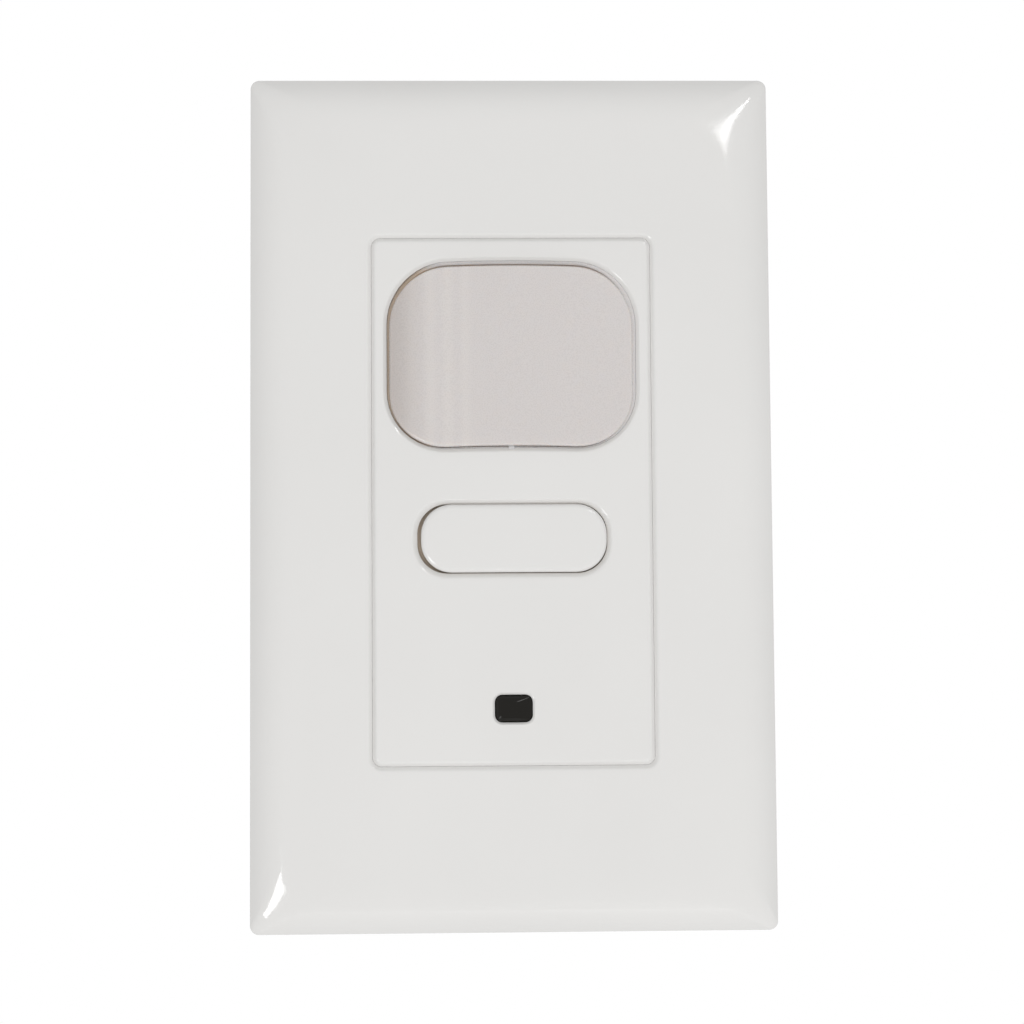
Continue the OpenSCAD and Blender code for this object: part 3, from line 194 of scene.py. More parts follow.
def softened(rings: Sequence[Ring], closed: bool = False) -> Array:
    """Round the corners of a profile whose points are levels.

    A corner C between A and B becomes the curve (1-t)^2 P + 2t(1-t) C + t^2 Q, where P and Q lie on
    the sides CA and CB at the corner's soft length from C, or at its share of a side that is too short.

    Args:
        rings: the profile's levels.
        closed: whether the last level joins the first.

    Returns:
        Levels as rows of numbers, without repeats.
    """
    corners = np.array([ring.row() for ring in rings])
    soft = np.array([ring.soft for ring in rings])
    to_before = np.roll(corners, 1, axis=0) - corners
    to_after = np.roll(corners, -1, axis=0) - corners
    reach_before = np.hypot(np.abs(to_before[:, :2]).max(axis=1), to_before[:, 3])
    reach_after = np.hypot(np.abs(to_after[:, :2]).max(axis=1), to_after[:, 3])
    share_before = soft / np.maximum(soft + np.roll(soft, 1), TINY)
    share_after = soft / np.maximum(soft + np.roll(soft, -1), TINY)
    room = np.minimum(reach_before * share_before, reach_after * share_after)
    cut = np.minimum(soft, ROUNDING_SHARE * room)
    if not closed:
        cut[[0, -1]] = 0.0
    start = corners + to_before * (cut / np.maximum(reach_before, TINY))[:, None]
    end = corners + to_after * (cut / np.maximum(reach_after, TINY))[:, None]
    t = np.linspace(0.0, 1.0, CORNER_PIECES + 1)[None, :, None]
    curve = (1 - t) ** 2 * start[:, None] + 2 * t * (1 - t) * corners[:, None] + t ** 2 * end[:, None]
    levels = curve.reshape(-1, corners.shape[1])
    fresh = np.abs(np.diff(levels, axis=0)).max(axis=1) > TINY
    return levels[np.concatenate([[True], fresh])]


def shrunk(edge: Ring, inset: Array, radius: Array, z: Array) -> Array:
    """Levels inside one level.

    Args:
        edge: the outer level.
        inset: how far each new level lies inside it.
        radius: each new level's corner radius.
        z: each new level's height.

    Returns:
        Levels as rows of numbers.
    """
    place = np.tile([edge.x, edge.y, edge.arch], (len(inset), 1))
    return np.column_stack([edge.half_w - inset, edge.half_h - inset, radius, z, place])


def crowned(edge: Ring, rise: float, count: int) -> Array:
    """Close a loop to a line in its middle over a gently domed face.

    With s from 0 at the edge to 1 in the middle, the sizes shrink by s times the half height, and
    the height is z + rise * (1 - (1-s)^2).

    Args:
        edge: the level at the face's edge.
        rise: how far the middle stands above the edge.
        count: levels between the edge and the middle.

    Returns:
        Levels as rows of numbers, from the edge to the middle.
    """
    s = np.linspace(0.0, 1.0, count + 1)
    inset = s * min(edge.half_w, edge.half_h)
    return shrunk(edge, inset, edge.radius * (1 - s), edge.z + rise * (1 - (1 - s) ** 2))


def lofted(loops: Array, closed: bool = False, caps: tuple[bool, bool] = (False, False)) -> Patch:
    """Join neighbouring loops with four-sided faces.

    Args:
        loops: points, shaped (loops, points of a loop, 3).
        closed: whether the last loop joins the first.
        caps: whether the first and the last loop are filled.

    Returns:
        The surface.
    """
    count, size = loops.shape[:2]
    index = np.arange(count * size).reshape(count, size)
    low = index if closed else index[:-1]
    high = np.roll(index, -1, axis=0) if closed else index[1:]
    quads = np.stack([low, np.roll(low, -1, axis=1), np.roll(high, -1, axis=1), high], axis=-1)
    faces = quads.reshape(-1, 4).tolist()
    if caps[0]:
        faces.append(index[0][::-1].tolist())
    if caps[1]:
        faces.append(index[-1].tolist())
    return Patch(loops.reshape(-1, 3), faces)


def to_row(points: Array) -> Array:
    """Turn drawing millimetres (x, y, z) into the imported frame's metres (x, -z, y)."""
    return np.stack([points[:, 0], -points[:, 2], points[:, 1]], axis=-1) * MM


def add_object(name: str, data: ID) -> Object:
    """Put a mesh, lamp or camera into the scene.

    Args:
        name: the object's name.
        data: what it shows.

    Returns:
        The object.
    """
    made = bpy.data.objects.new(name, data)
    bpy.context.scene.collection.objects.link(made)
    return made


def make_piece(name: str, patches: Sequence[Patch]) -> Object:
    """Join surfaces into one closed mesh object at the origin.

    Args:
        name: the object's name.
        patches: surfaces whose edges meet or that are closed by themselves.

    Returns:
        The object, with merged points and outward faces.
    """
    starts = np.cumsum([0] + [len(patch.points) for patch in patches])
    points = to_row(np.concatenate([patch.points for patch in patches]))
    faces = [[corner + start for corner in face]
             for patch, start in zip(patches, starts.tolist()) for face in patch.faces]
    mesh = bpy.data.meshes.new(name)
    mesh.from_pydata(points, [], faces)
    work = bmesh.new()
    work.from_mesh(mesh)
    bmesh.ops.remove_doubles(work, verts=work.verts, dist=MERGE_M)
    bmesh.ops.recalc_face_normals(work, faces=work.faces)
    work.to_mesh(mesh)
    work.free()
    mesh.shade_smooth()
    mesh.set_sharp_from_angle(angle=math.radians(CRISP_ANGLE))
    piece = add_object(name, mesh)
    weigh = piece.modifiers.new("even_shading", "WEIGHTED_NORMAL")
    weigh.keep_sharp = True
    return piece


def srgb(colour: Triple) -> tuple[float, float, float, float]:
    """Turn a colour of 0 to 255, as a picture holds it, into the linear one that shaders use."""
    value = np.asarray(colour) / 255.0
    linear = np.where(value <= 0.04045, value / 12.92, ((value + 0.055) / 1.055) ** 2.4)
    return (*linear.tolist(), 1.0)


def set_inputs(node: Node, values: dict) -> None:
    """Give a node's inputs their values, by name or number."""
    for label, value in values.items():
        node.inputs[label].default_value = value


def add_node(tree: NodeTree, kind: str, values: dict | None = None, **options: object) -> Node:
    """Add a shader node.

    Args:
        tree: the node tree that it joins.
        kind: its type, without the leading ShaderNode.
        values: what its inputs hold, by name or number.
        options: its own settings.

    Returns:
        The node.
    """
    node = tree.nodes.new("ShaderNode" + kind)
    for option, choice in options.items():
        setattr(node, option, choice)
    set_inputs(node, values or {})
    return node


def wire(tree: NodeTree, *joins: tuple) -> None:
    """Link nodes, where each join is a node, its output, the next node and its input."""
    for source, output, target, entry in joins:
        tree.links.new(source.outputs[output], target.inputs[entry])


class Pattern(Enum):
    """What a finish shows over its ground tone."""

    MOULDED = "moulded plastic, even with a fine grain"
    # With SEGMENTS, Finish.material also paints shade along one side of the lens.
    SEGMENTS = "upright lens segments seen through milky plastic"
    BRUSHED = "rolled metal, with fine drawn lines"
    TRACKS = "a coated board with copper tracks under the coat"
    WOUND = "enamelled wire in close turns"


BANDED = (Pattern.SEGMENTS, Pattern.TRACKS, Pattern.WOUND)


class ShaderGroups:
    """The node groups that the finishes share, each built once."""

    noise_span: Span = (0.3, 0.7)
    tone_detail: float = 3.0
    grain_detail: float = 4.0
    band_detail: float = 1.0

    def __init__(self) -> None:
        """Build all the groups."""
        self.tone = self._tone()
        self.grain = self._grain()
        self.bands = self._bands()
        self.fade = self._fade()

    @staticmethod
    def _start(name: str, inputs: dict[str, str], outputs: dict[str, str]) -> tuple:
        """Make an empty group with its sockets.

        Args:
            name: the group's name.
            inputs: kind of each input, as Color, Float or Vector.
            outputs: kind of each output.

        Returns:
            The tree, its input node and its output node.
        """
        tree = bpy.data.node_groups.new(name, "ShaderNodeTree")
        for direction, sockets in (("INPUT", inputs), ("OUTPUT", outputs)):
            for label, kind in sockets.items():
                tree.interface.new_socket(name=label, in_out=direction, socket_type="NodeSocket" + kind)
        return tree, tree.nodes.new("NodeGroupInput"), tree.nodes.new("NodeGroupOutput")

    def _noise(self, tree: NodeTree, given: Node, detail: float) -> tuple:
        """Add noise at the group's Scale, and a spread of its middle part over a whole range.

        Args:
            tree: the group's tree.
            given: the group's input node.
            detail: how many finer layers the noise has.

        Returns:
            The noise and the spread.
        """
        noise = add_node(tree, "TexNoise", {"Detail": detail})
        spread = add_node(tree, "MapRange", {"From Min": self.noise_span[0], "From Max": self.noise_span[1]})
        wire(tree, (given, "Scale", noise, "Scale"), (noise, "Fac", spread, "Value"))
        return noise, spread

    def _tone(self) -> NodeTree:
        """A slow drift between two colours: mix by soft noise.

        Returns:
            The group.
        """
        tree, given, result = self._start(
            "tone_drift",
            {"Vector": "Vector", "Colour": "Color", "Drift Colour": "Color", "Scale": "Float"},
            {"Colour": "Color"})
        noise, spread = self._noise(tree, given, self.tone_detail)
        mix = add_node(tree, "Mix", data_type="RGBA")
        wire(tree,
             (given, "Vector", noise, "Vector"),
             (spread, "Result", mix, "Factor"),
             (given, "Colour", mix, "A"),
             (given, "Drift Colour", mix, "B"),
             (mix, "Result", result, "Colour"))
        return tree

    def _grain(self) -> NodeTree:
        """Fine grain: noise, stretched along one axis where asked, gives roughness and height.

        Returns:
            The group.
        """
        tree, given, result = self._start(
            "fine_grain",
            {"Vector": "Vector", "Scale": "Float", "Stretch": "Vector", "Smooth": "Float", "Rough": "Float"},
            {"Roughness": "Float", "Height": "Float"})
        stretch = add_node(tree, "VectorMath", operation="MULTIPLY")
        noise, spread = self._noise(tree, given, self.grain_detail)
        wire(tree,
             (given, "Vector", stretch, 0),
             (given, "Stretch", stretch, 1),
             (stretch, "Vector", noise, "Vector"),
             (given, "Smooth", spread, "To Min"),
             (given, "Rough", spread, "To Max"),
             (spread, "Result", result, "Roughness"),
             (noise, "Fac", result, "Height"))
        return tree

    def _bands(self) -> NodeTree:
        """Even bands across one axis: a wave gives a mask between two colours and a height.

        Returns:
            The group.
        """
        tree, given, result = self._start(
            "even_bands",
            {"Vector": "Vector", "Scale": "Float", "Waver": "Float", "Amount": "Float", "Colour": "Color",
             "Band Colour": "Color"},
            {"Colour": "Color", "Height": "Float"})
        wave = add_node(tree, "TexWave", {"Detail": self.band_detail}, wave_type="BANDS", bands_direction="X")
        share = add_node(tree, "Math", operation="MULTIPLY")
        mix = add_node(tree, "Mix", data_type="RGBA")
        wire(tree,
             (given, "Vector", wave, "Vector"),
             (given, "Scale", wave, "Scale"),
             (given, "Waver", wave, "Distortion"),
             (wave, "Fac", share, 0),
             (given, "Amount", share, 1),
             (share, "Value", mix, "Factor"),
             (given, "Colour", mix, "A"),
             (given, "Band Colour", mix, "B"),
             (mix, "Result", result, "Colour"),
             (wave, "Fac", result, "Height"))
        return tree

    def _fade(self) -> NodeTree:
        """A mask that grows smoothly from 0 to 1 between two places along an axis, in metres.

        Returns:
            The group.
        """
        tree, given, result = self._start(
            "axis_fade",
            {"Vector": "Vector", "Axis": "Vector", "From": "Float", "To": "Float"},
            {"Mask": "Float"})
        reach = add_node(tree, "VectorMath", operation="DOT_PRODUCT")
        spread = add_node(tree, "MapRange", interpolation_type="SMOOTHSTEP")
        wire(tree,
             (given, "Vector", reach, 0),
             (given, "Axis", reach, 1),
             (reach, "Value", spread, "Value"),
             (given, "From", spread, "From Min"),
             (given, "To", spread, "From Max"),
             (spread, "Result", result, "Mask"))
        return tree


@dataclass
class Surface:
    """A material in the making: its tree, the shared groups and the coordinates they read."""

    tree: NodeTree
    groups: ShaderGroups
    where: NodeSocket

    def group(self, shared: NodeTree, values: dict) -> Node:
        """Place a shared group on the coordinates.

        Args:
            shared: the group.
            values: what its other inputs hold.

        Returns:
            The group's node.
        """
        node = add_node(self.tree, "Group", values, node_tree=shared)
        self.tree.links.new(self.where, node.inputs["Vector"])
        return node

    def mask(self, axis: Triple, ends: Span) -> NodeSocket:
        """Place the axis_fade group.

        Args:
            axis: the direction along which the mask changes.
            ends: the places along it where the mask is 0 and 1, in millimetres.

        Returns:
            The mask.
        """
        values = {"Axis": axis, "From": ends[0] * MM, "To": ends[1] * MM}
        return self.group(self.groups.fade, values).outputs["Mask"]

    def tinted(self, colour: NodeSocket, tint: Triple, share: NodeSocket) -> NodeSocket:
        """Mix a second colour in.

        Args:
            colour: the colour so far.
            tint: the second colour.
            share: how much of it shows, from 0 to 1.

        Returns:
            The mixed colour.
        """
        mix = add_node(self.tree, "Mix", {"B": srgb(tint)}, data_type="RGBA")
        self.tree.links.new(share, mix.inputs["Factor"])
        self.tree.links.new(colour, mix.inputs["A"])
        return mix.outputs["Result"]


@dataclass(frozen=True)
class Finish:
    """One surface finish: two close tones, how glossy it is and how its grain runs.

    Colours are as a picture holds them, scales are per metre, and depth and the places where the
    bands, the painted side shade and the painted shade in the gaps fade in are in millimetres of the
    drawing frame.
    """

    slot: str
    colour: Triple
    drift: Triple
    smooth: float
    rough: float
    pattern: Pattern = Pattern.MOULDED
    metallic: float = 0.0
    coat: float = 0.0
    specular: float = 0.5
    tone_scale: float = 60.0
    grain_scale: float = 1500.0
    stretch: Triple = (1.0, 1.0, 1.0)
    depth: float = 0.002
    band_scale: float = 0.0
    band_colour: Triple = (255.0, 255.0, 255.0)
    waver: float = 0.0
    milky: float = 0.0
    band_fade: Span = (0.0, 0.0)
    # Painted shade: a darker tone across one side, and a warm darker tone that deepens down the gaps round
    # openings.
    painted_side_shade: Triple = (255.0, 255.0, 255.0)
    side_shade_fade: Span = (0.0, 0.0)
    painted_gap_shade: Triple = (255.0, 255.0, 255.0)
    gap_shade_fade: Span = (0.0, 0.0)
    gap_shade_end: Span = (4.9, 5.2)
    name: str = ""

    def title(self) -> str:
        """The finish's own name, or its slot's where it has none."""
        return self.name or self.slot

    def material(self, groups: ShaderGroups) -> Material:
        """Build the finish as a node material.

        Args:
            groups: the shared node groups.

        Returns:
            The material, named for the finish.
        """
        material = bpy.data.materials.new(self.title() + "_finish")
        material.use_nodes = True
        tree = material.node_tree
        shader = tree.nodes["Principled BSDF"]
        set_inputs(shader, {
            "Metallic": self.metallic, "Coat Weight": self.coat, "Coat Roughness": COAT_ROUGHNESS,
            "Specular IOR Level": self.specular, "Subsurface Weight": self.milky,
            "Subsurface Radius": MILKY_REACH, "Subsurface Scale": MM})
        surface = Surface(tree, groups, add_node(tree, "TexCoord").outputs["Object"])
        tone = surface.group(groups.tone, {
            "Colour": srgb(self.colour), "Drift Colour": srgb(self.drift), "Scale": self.tone_scale})
        grain = surface.group(groups.grain, {
            "Scale": self.grain_scale, "Stretch": self.stretch, "Smooth": self.smooth, "Rough": self.rough})
        colour = tone.outputs["Colour"]
        height = grain.outputs["Height"]
        if self.pattern in BANDED:
            bands = surface.group(groups.bands, {
                "Scale": self.band_scale, "Waver": self.waver, "Band Colour": srgb(self.band_colour),
                "Amount": 1.0})
            tree.links.new(colour, bands.inputs["Colour"])
            colour = bands.outputs["Colour"]
        if self.pattern is Pattern.WOUND:
            height = bands.outputs["Height"]
        if self.pattern is Pattern.SEGMENTS:
            tree.links.new(surface.mask(ACROSS, self.band_fade), bands.inputs["Amount"])
            # Painted shade: the side past the fade is darkened in colour, standing in for light that falls
            # from the other side.
            colour = surface.tinted(colour, self.painted_side_shade, surface.mask(ACROSS, self.side_shade_fade))
        # Painted shade: parts that lie deeper, down the gap round an opening, turn a warm darker tone that
        # stands in for shade in the gap.
        if self.gap_shade_fade[0] > self.gap_shade_fade[1]:
            deep = add_node(tree, "Math", operation="MULTIPLY")
            tree.links.new(surface.mask(OUTWARD, self.gap_shade_fade), deep.inputs[0])
            tree.links.new(surface.mask(OUTWARD, self.gap_shade_end), deep.inputs[1])
            colour = surface.tinted(colour, self.painted_gap_shade, deep.outputs["Value"])
        bump = add_node(tree, "Bump", {"Strength": BUMP_STRENGTH, "Distance": self.depth * MM})
        tree.links.new(height, bump.inputs["Height"])
        tree.links.new(colour, shader.inputs["Base Color"])
        wire(tree, (grain, "Roughness", shader, "Roughness"), (bump, "Normal", shader, "Normal"))
        return material


FINISHES = (
    Finish("white_plastic", (225, 224, 222), (227, 226, 224), 0.07, 0.11, tone_scale=45.0),
    Finish("frame_plastic", (206, 206, 202), (211, 211, 207), 0.42, 0.56, depth=0.006),
    # The lens paints shade: its left side is darker, and its gap edges turn a warm darker tone.
    Finish("lens_plastic", (210, 205, 203), (211, 206, 204), 0.24, 0.32, Pattern.SEGMENTS, coat=0.25,
           band_scale=130.0, band_colour=(214, 209, 206), waver=0.6, tone_scale=30.0, milky=0.5,
           band_fade=(-4.0, -6.5), painted_side_shade=(186, 179, 175), side_shade_fade=(-10.0, -17.0),
           grain_scale=6000.0, depth=0.0005, painted_gap_shade=(206, 186, 166), gap_shade_fade=(5.95, 5.5)),
    Finish("dark_window", (12, 9, 3), (14, 11, 5), 0.05, 0.10, specular=0.22, depth=0.001),
    Finish("grey_housing", (150, 152, 153), (157, 159, 160), 0.46, 0.60, depth=0.012, grain_scale=1800.0),
    Finish("strap_steel", (186, 188, 190), (200, 201, 202), 0.30, 0.46, Pattern.BRUSHED, metallic=1.0,
           stretch=(1.0, 1.0, 0.06), grain_scale=2500.0),
    Finish("screw_steel", (198, 199, 200), (210, 210, 211), 0.24, 0.36, Pattern.BRUSHED, metallic=1.0,
           grain_scale=2500.0),
    Finish("ground_green", (36, 104, 58), (44, 116, 68), 0.30, 0.42, metallic=0.6, grain_scale=2500.0),
    Finish("terminal_brass", (206, 172, 104), (216, 184, 118), 0.26, 0.40, Pattern.BRUSHED, metallic=1.0,
           stretch=(1.0, 0.1, 1.0), grain_scale=2500.0),
    Finish("board_green", (20, 82, 48), (24, 92, 54), 0.28, 0.38, Pattern.TRACKS, coat=0.4,
           band_scale=260.0, band_colour=(26, 96, 57), waver=0.4),
    Finish("black_plastic", (26, 26, 27), (32, 32, 33), 0.38, 0.52, depth=0.004),
    Finish("blue_plastic", (38, 78, 140), (44, 86, 150), 0.32, 0.44),
    Finish("yellow_plastic", (206, 164, 52), (214, 172, 62), 0.34, 0.46),
    Finish("sensor_can", (186, 178, 160), (198, 190, 172), 0.22, 0.34, Pattern.BRUSHED, metallic=1.0,
           grain_scale=3000.0),
    Finish("sensor_filter", (34, 32, 40), (42, 39, 48), 0.08, 0.14, coat=0.5),
    Finish("led_red", (150, 26, 24), (166, 34, 30), 0.10, 0.18, coat=0.5),
    Finish("cell_ceramic", (196, 172, 138), (204, 182, 150), 0.40, 0.54),
    Finish("copper_winding", (172, 96, 52), (186, 108, 60), 0.26, 0.36, Pattern.WOUND, metallic=0.8,
           band_scale=900.0, band_colour=(116, 58, 30), depth=0.06),
    Finish("relay_iron", (140, 140, 142), (152, 152, 154), 0.34, 0.48, Pattern.BRUSHED, metallic=1.0,
           grain_scale=2500.0),
    Finish("capacitor_can", (58, 66, 92), (66, 74, 100), 0.28, 0.40),
    Finish("resistor_ceramic", (216, 208, 190), (222, 215, 198), 0.50, 0.64, depth=0.006),
)
# The button's white paints a warm darker shade down the gaps round the button.
BUTTON_GAP_SHADED = replace(FINISHES[0], name="button_white_gap_shade", painted_gap_shade=(182, 166, 147), gap_shade_fade=(6.35, 5.6),
                       gap_shade_end=(4.2, 4.5))


@dataclass
class WallPlate:
    """The screwless plate: a thin shell with an arched border and a flat field around the opening."""

    half_w: float = 34.925
    half_h: float = 57.15
    corner: float = 1.2
    corner_gain: float = 0.8
    edge_z: float = 3.6
    top_z: float = 6.2
    slope_w: float = 7.0
    round_off: float = 3.0
    border_steps: int = 16
    wall: float = 1.9
    opening: Ring = Ring(18.645, 35.145, 1.22)
    field_in: float = 1.0
    groove_w: float = 0.5
    groove_d: float = 0.5
    lip_z: float = 5.2
    under_z: float = 4.3
    step: float = 0.9
    rim_soft: float = 0.15
    edge_soft: float = 0.25
    groove_soft: float = 0.04
    under_soft: float = 0.1
    catch_y: float = 30.0
    catch_l: float = 8.0
    catch_low: float = 0.1
    catch_high: float = 1.2
    catch_in: float = 30.15
    catch_out: float = 33.6
    catch_soft: float = 0.2
    catch_tip_r: float = 0.05

    def border(self, inset: float, drop: float) -> list[Ring]:
        """The arched border as levels, from its outer edge up to the flat field.

        With s from 0 at the edge to 1 at the field, a level stands slope_w s in from the edge and
        (top_z - edge_z) (1 - s)^round_off below the field.

        Args:
            inset: how far the border lies inside the plate's own outline.
            drop: how far it lies under the plate's own front.

        Returns:
            The levels in order.
        """
        s = np.linspace(0.0, 1.0, self.border_steps + 1)
        inward = self.slope_w * s
        heights = self.top_z - drop - (self.top_z - self.edge_z) * (1 - s) ** self.round_off
        edge = Ring(self.half_w - inset, self.half_h - inset, self.corner)
        return [edge.at(z, grow=-i, radius=self.corner + self.corner_gain * i)
                for i, z in zip(inward.tolist(), heights.tolist())]

    def catch(self, side_x: int, side_y: int) -> Patch:
        """One snap catch on an inner wall, a small block with softened edges.

        Args:
            side_x: -1 on the left wall and 1 on the right one.
            side_y: -1 below the middle and 1 above it.

        Returns:
            The block's surface.
        """
        half = (self.catch_out - self.catch_in) / 2
        middle = (self.catch_in + self.catch_out) / 2
        soft = self.catch_soft
        wall = Ring(half, self.catch_l / 2, soft, x=side_x * middle, y=side_y * self.catch_y)
        rings = [wall.at(self.catch_low, grow=-soft, radius=self.catch_tip_r),
                 wall.at(self.catch_low, soft),
                 wall.at(self.catch_high, soft),
                 wall.at(self.catch_high, grow=-soft, radius=self.catch_tip_r)]
        return lofted(Outline(places(2), places(2), 4).loops(softened(rings)), caps=(True, True))

    def build(self) -> Object:
        """Carry the shell's section round the plate, from the rim up, over, in, and back underneath.

        Returns:
            The piece.
        """
        rim = Ring(self.half_w, self.half_h, self.corner)
        hole = self.opening
        rings = [rim.at(0.0, self.rim_soft),
                 rim.at(self.edge_z, self.edge_soft),
                 *self.border(0.0, 0.0)[1:],
                 hole.at(self.top_z, grow=self.field_in),
                 hole.at(self.top_z, self.edge_soft, grow=self.groove_w),
                 hole.at(self.top_z - self.groove_d, self.groove_soft),
                 hole.at(self.lip_z, self.under_soft),
                 hole.at(self.lip_z, self.under_soft, grow=self.step, radius=hole.radius),
                 hole.at(self.under_z, self.under_soft, grow=self.step, radius=hole.radius),
                 *self.border(self.wall, self.top_z - self.under_z)[::-1],
                 rim.at(0.0, self.rim_soft, grow=-self.wall, radius=self.corner)]
        outline = Outline(places(20), places(32))
        shell = lofted(outline.loops(softened(rings, closed=True)), closed=True)
        catches = [self.catch(side_x, side_y) for side_x in (-1, 1) for side_y in (-1, 1)]
        return make_piece("wall_plate_shell", [shell, *catches])


@dataclass
class Hole:
    """An opening of the front cover and the band of the cover that it sits in, from foot to head.

    slope is the width of the small slope round the opening.
    """

    edge: Ring
    foot: float
    head: float
    slope: float


@dataclass
class FrontCover:
    """The flat insert in the plate's opening, with the openings for the lens, button and window.

    brim_soft and slope_fall are shares of the slope round an opening: how far its upper edge is
    rounded, and how far it falls.
    """

    half_w: float = 18.5
    half_h: float = 35.0
    corner: float = 1.2
    top_z: float = 6.3
    under_z: float = 4.7
    ledge: float = 0.8
    ledge_z: float = 5.1
    foot_z: float = 2.8
    skirt: Ring = Ring(17.15, 33.65, 0.5)
    field_in: float = 0.9
    groove_w: float = 0.5
    groove_d: float = 0.6
    fuller: float = 0.13
    brim_soft: float = 0.3
    slope_fall: float = 0.8
    edge_soft: float = 0.25
    groove_soft: float = 0.04
    wall_soft: float = 0.05
    inner_soft: float = 0.08
    foot_soft: float = 0.12
    under_rim: float = 0.2
    rows: int = 10
    columns: int = 24
    holes: tuple[Hole, ...] = (
        Hole(Ring(16.6, 12.55, 8.05, y=19.0, arch=0.5), 3.0, 34.1, 0.5),
        Hole(Ring(12.58, 4.575, 3.9, x=-0.04, y=-5.15), -17.0, 3.0, 0.65),
        Hole(Ring(2.5, 1.825, 1.0, y=-27.6), -34.1, -17.0, 0.3),
    )

    def band(self, hole: Hole) -> Patch:
        """One band of the face: from its rectangle in to the opening, down the wall and out below.

        Args:
            hole: the opening and the band's foot and head.

        Returns:
            The band's surface, open along its rectangle above and below.
        """
        shrink = self.skirt.half_h / (self.half_h - self.field_in)
        half = (hole.head - hole.foot) / 2
        middle = (hole.head + hole.foot) / 2
        edge = hole.edge
        rings = [Ring(self.half_w - self.field_in, half, 0.0, self.top_z, y=middle),
                 edge.at(self.top_z, self.brim_soft * hole.slope, grow=hole.slope),
                 edge.at(self.top_z - self.slope_fall * hole.slope, self.wall_soft),
                 edge.at(self.under_z, self.inner_soft),
                 edge.at(self.under_z, grow=self.under_rim),
                 Ring(self.skirt.half_w, half * shrink, 0.0, self.under_z, y=middle * shrink)]
        outline = Outline(places(self.columns), places(self.rows))
        return lofted(outline.loops(softened(rings)))

    def rim(self) -> Patch:
        """The strip from the face's rectangle over the edge, down to the ledge and up the skirt.

        Returns:
            The strip's surface, with points where those of the bands lie.
        """
        field_h = self.half_h - self.field_in
        edge = Ring(self.half_w + self.fuller, self.half_h + self.fuller, self.corner)
        ledge = Ring(self.half_w + self.ledge, self.half_h + self.ledge, self.corner)
        rings = [Ring(self.half_w - self.field_in, field_h, 0.0, self.top_z),
                 edge.at(self.top_z, self.edge_soft, grow=-self.groove_w),
                 edge.at(self.top_z - self.groove_d, self.groove_soft),
                 edge.at(self.ledge_z, self.inner_soft),
                 ledge.at(self.ledge_z, self.foot_soft),
                 ledge.at(self.foot_z, self.foot_soft),
                 self.skirt.at(self.foot_z, self.foot_soft),
                 self.skirt.at(self.under_z, radius=0.0)]
        edges = sorted({hole.foot for hole in self.holes} | {hole.head for hole in self.holes})
        steps = [low + (high - low) * places(self.rows) for low, high in zip(edges, edges[1:])]
        marks = np.concatenate([*steps, edges[1:-1]])
        along = np.sort((marks + field_h) / (2 * field_h))
        return lofted(Outline(places(self.columns), along).loops(softened(rings)))

    def build(self) -> Object:
        """Join the rim and the three bands into one closed moulding."""
        return make_piece("front_cover_face", [self.rim(), *(self.band(hole) for hole in self.holes)])


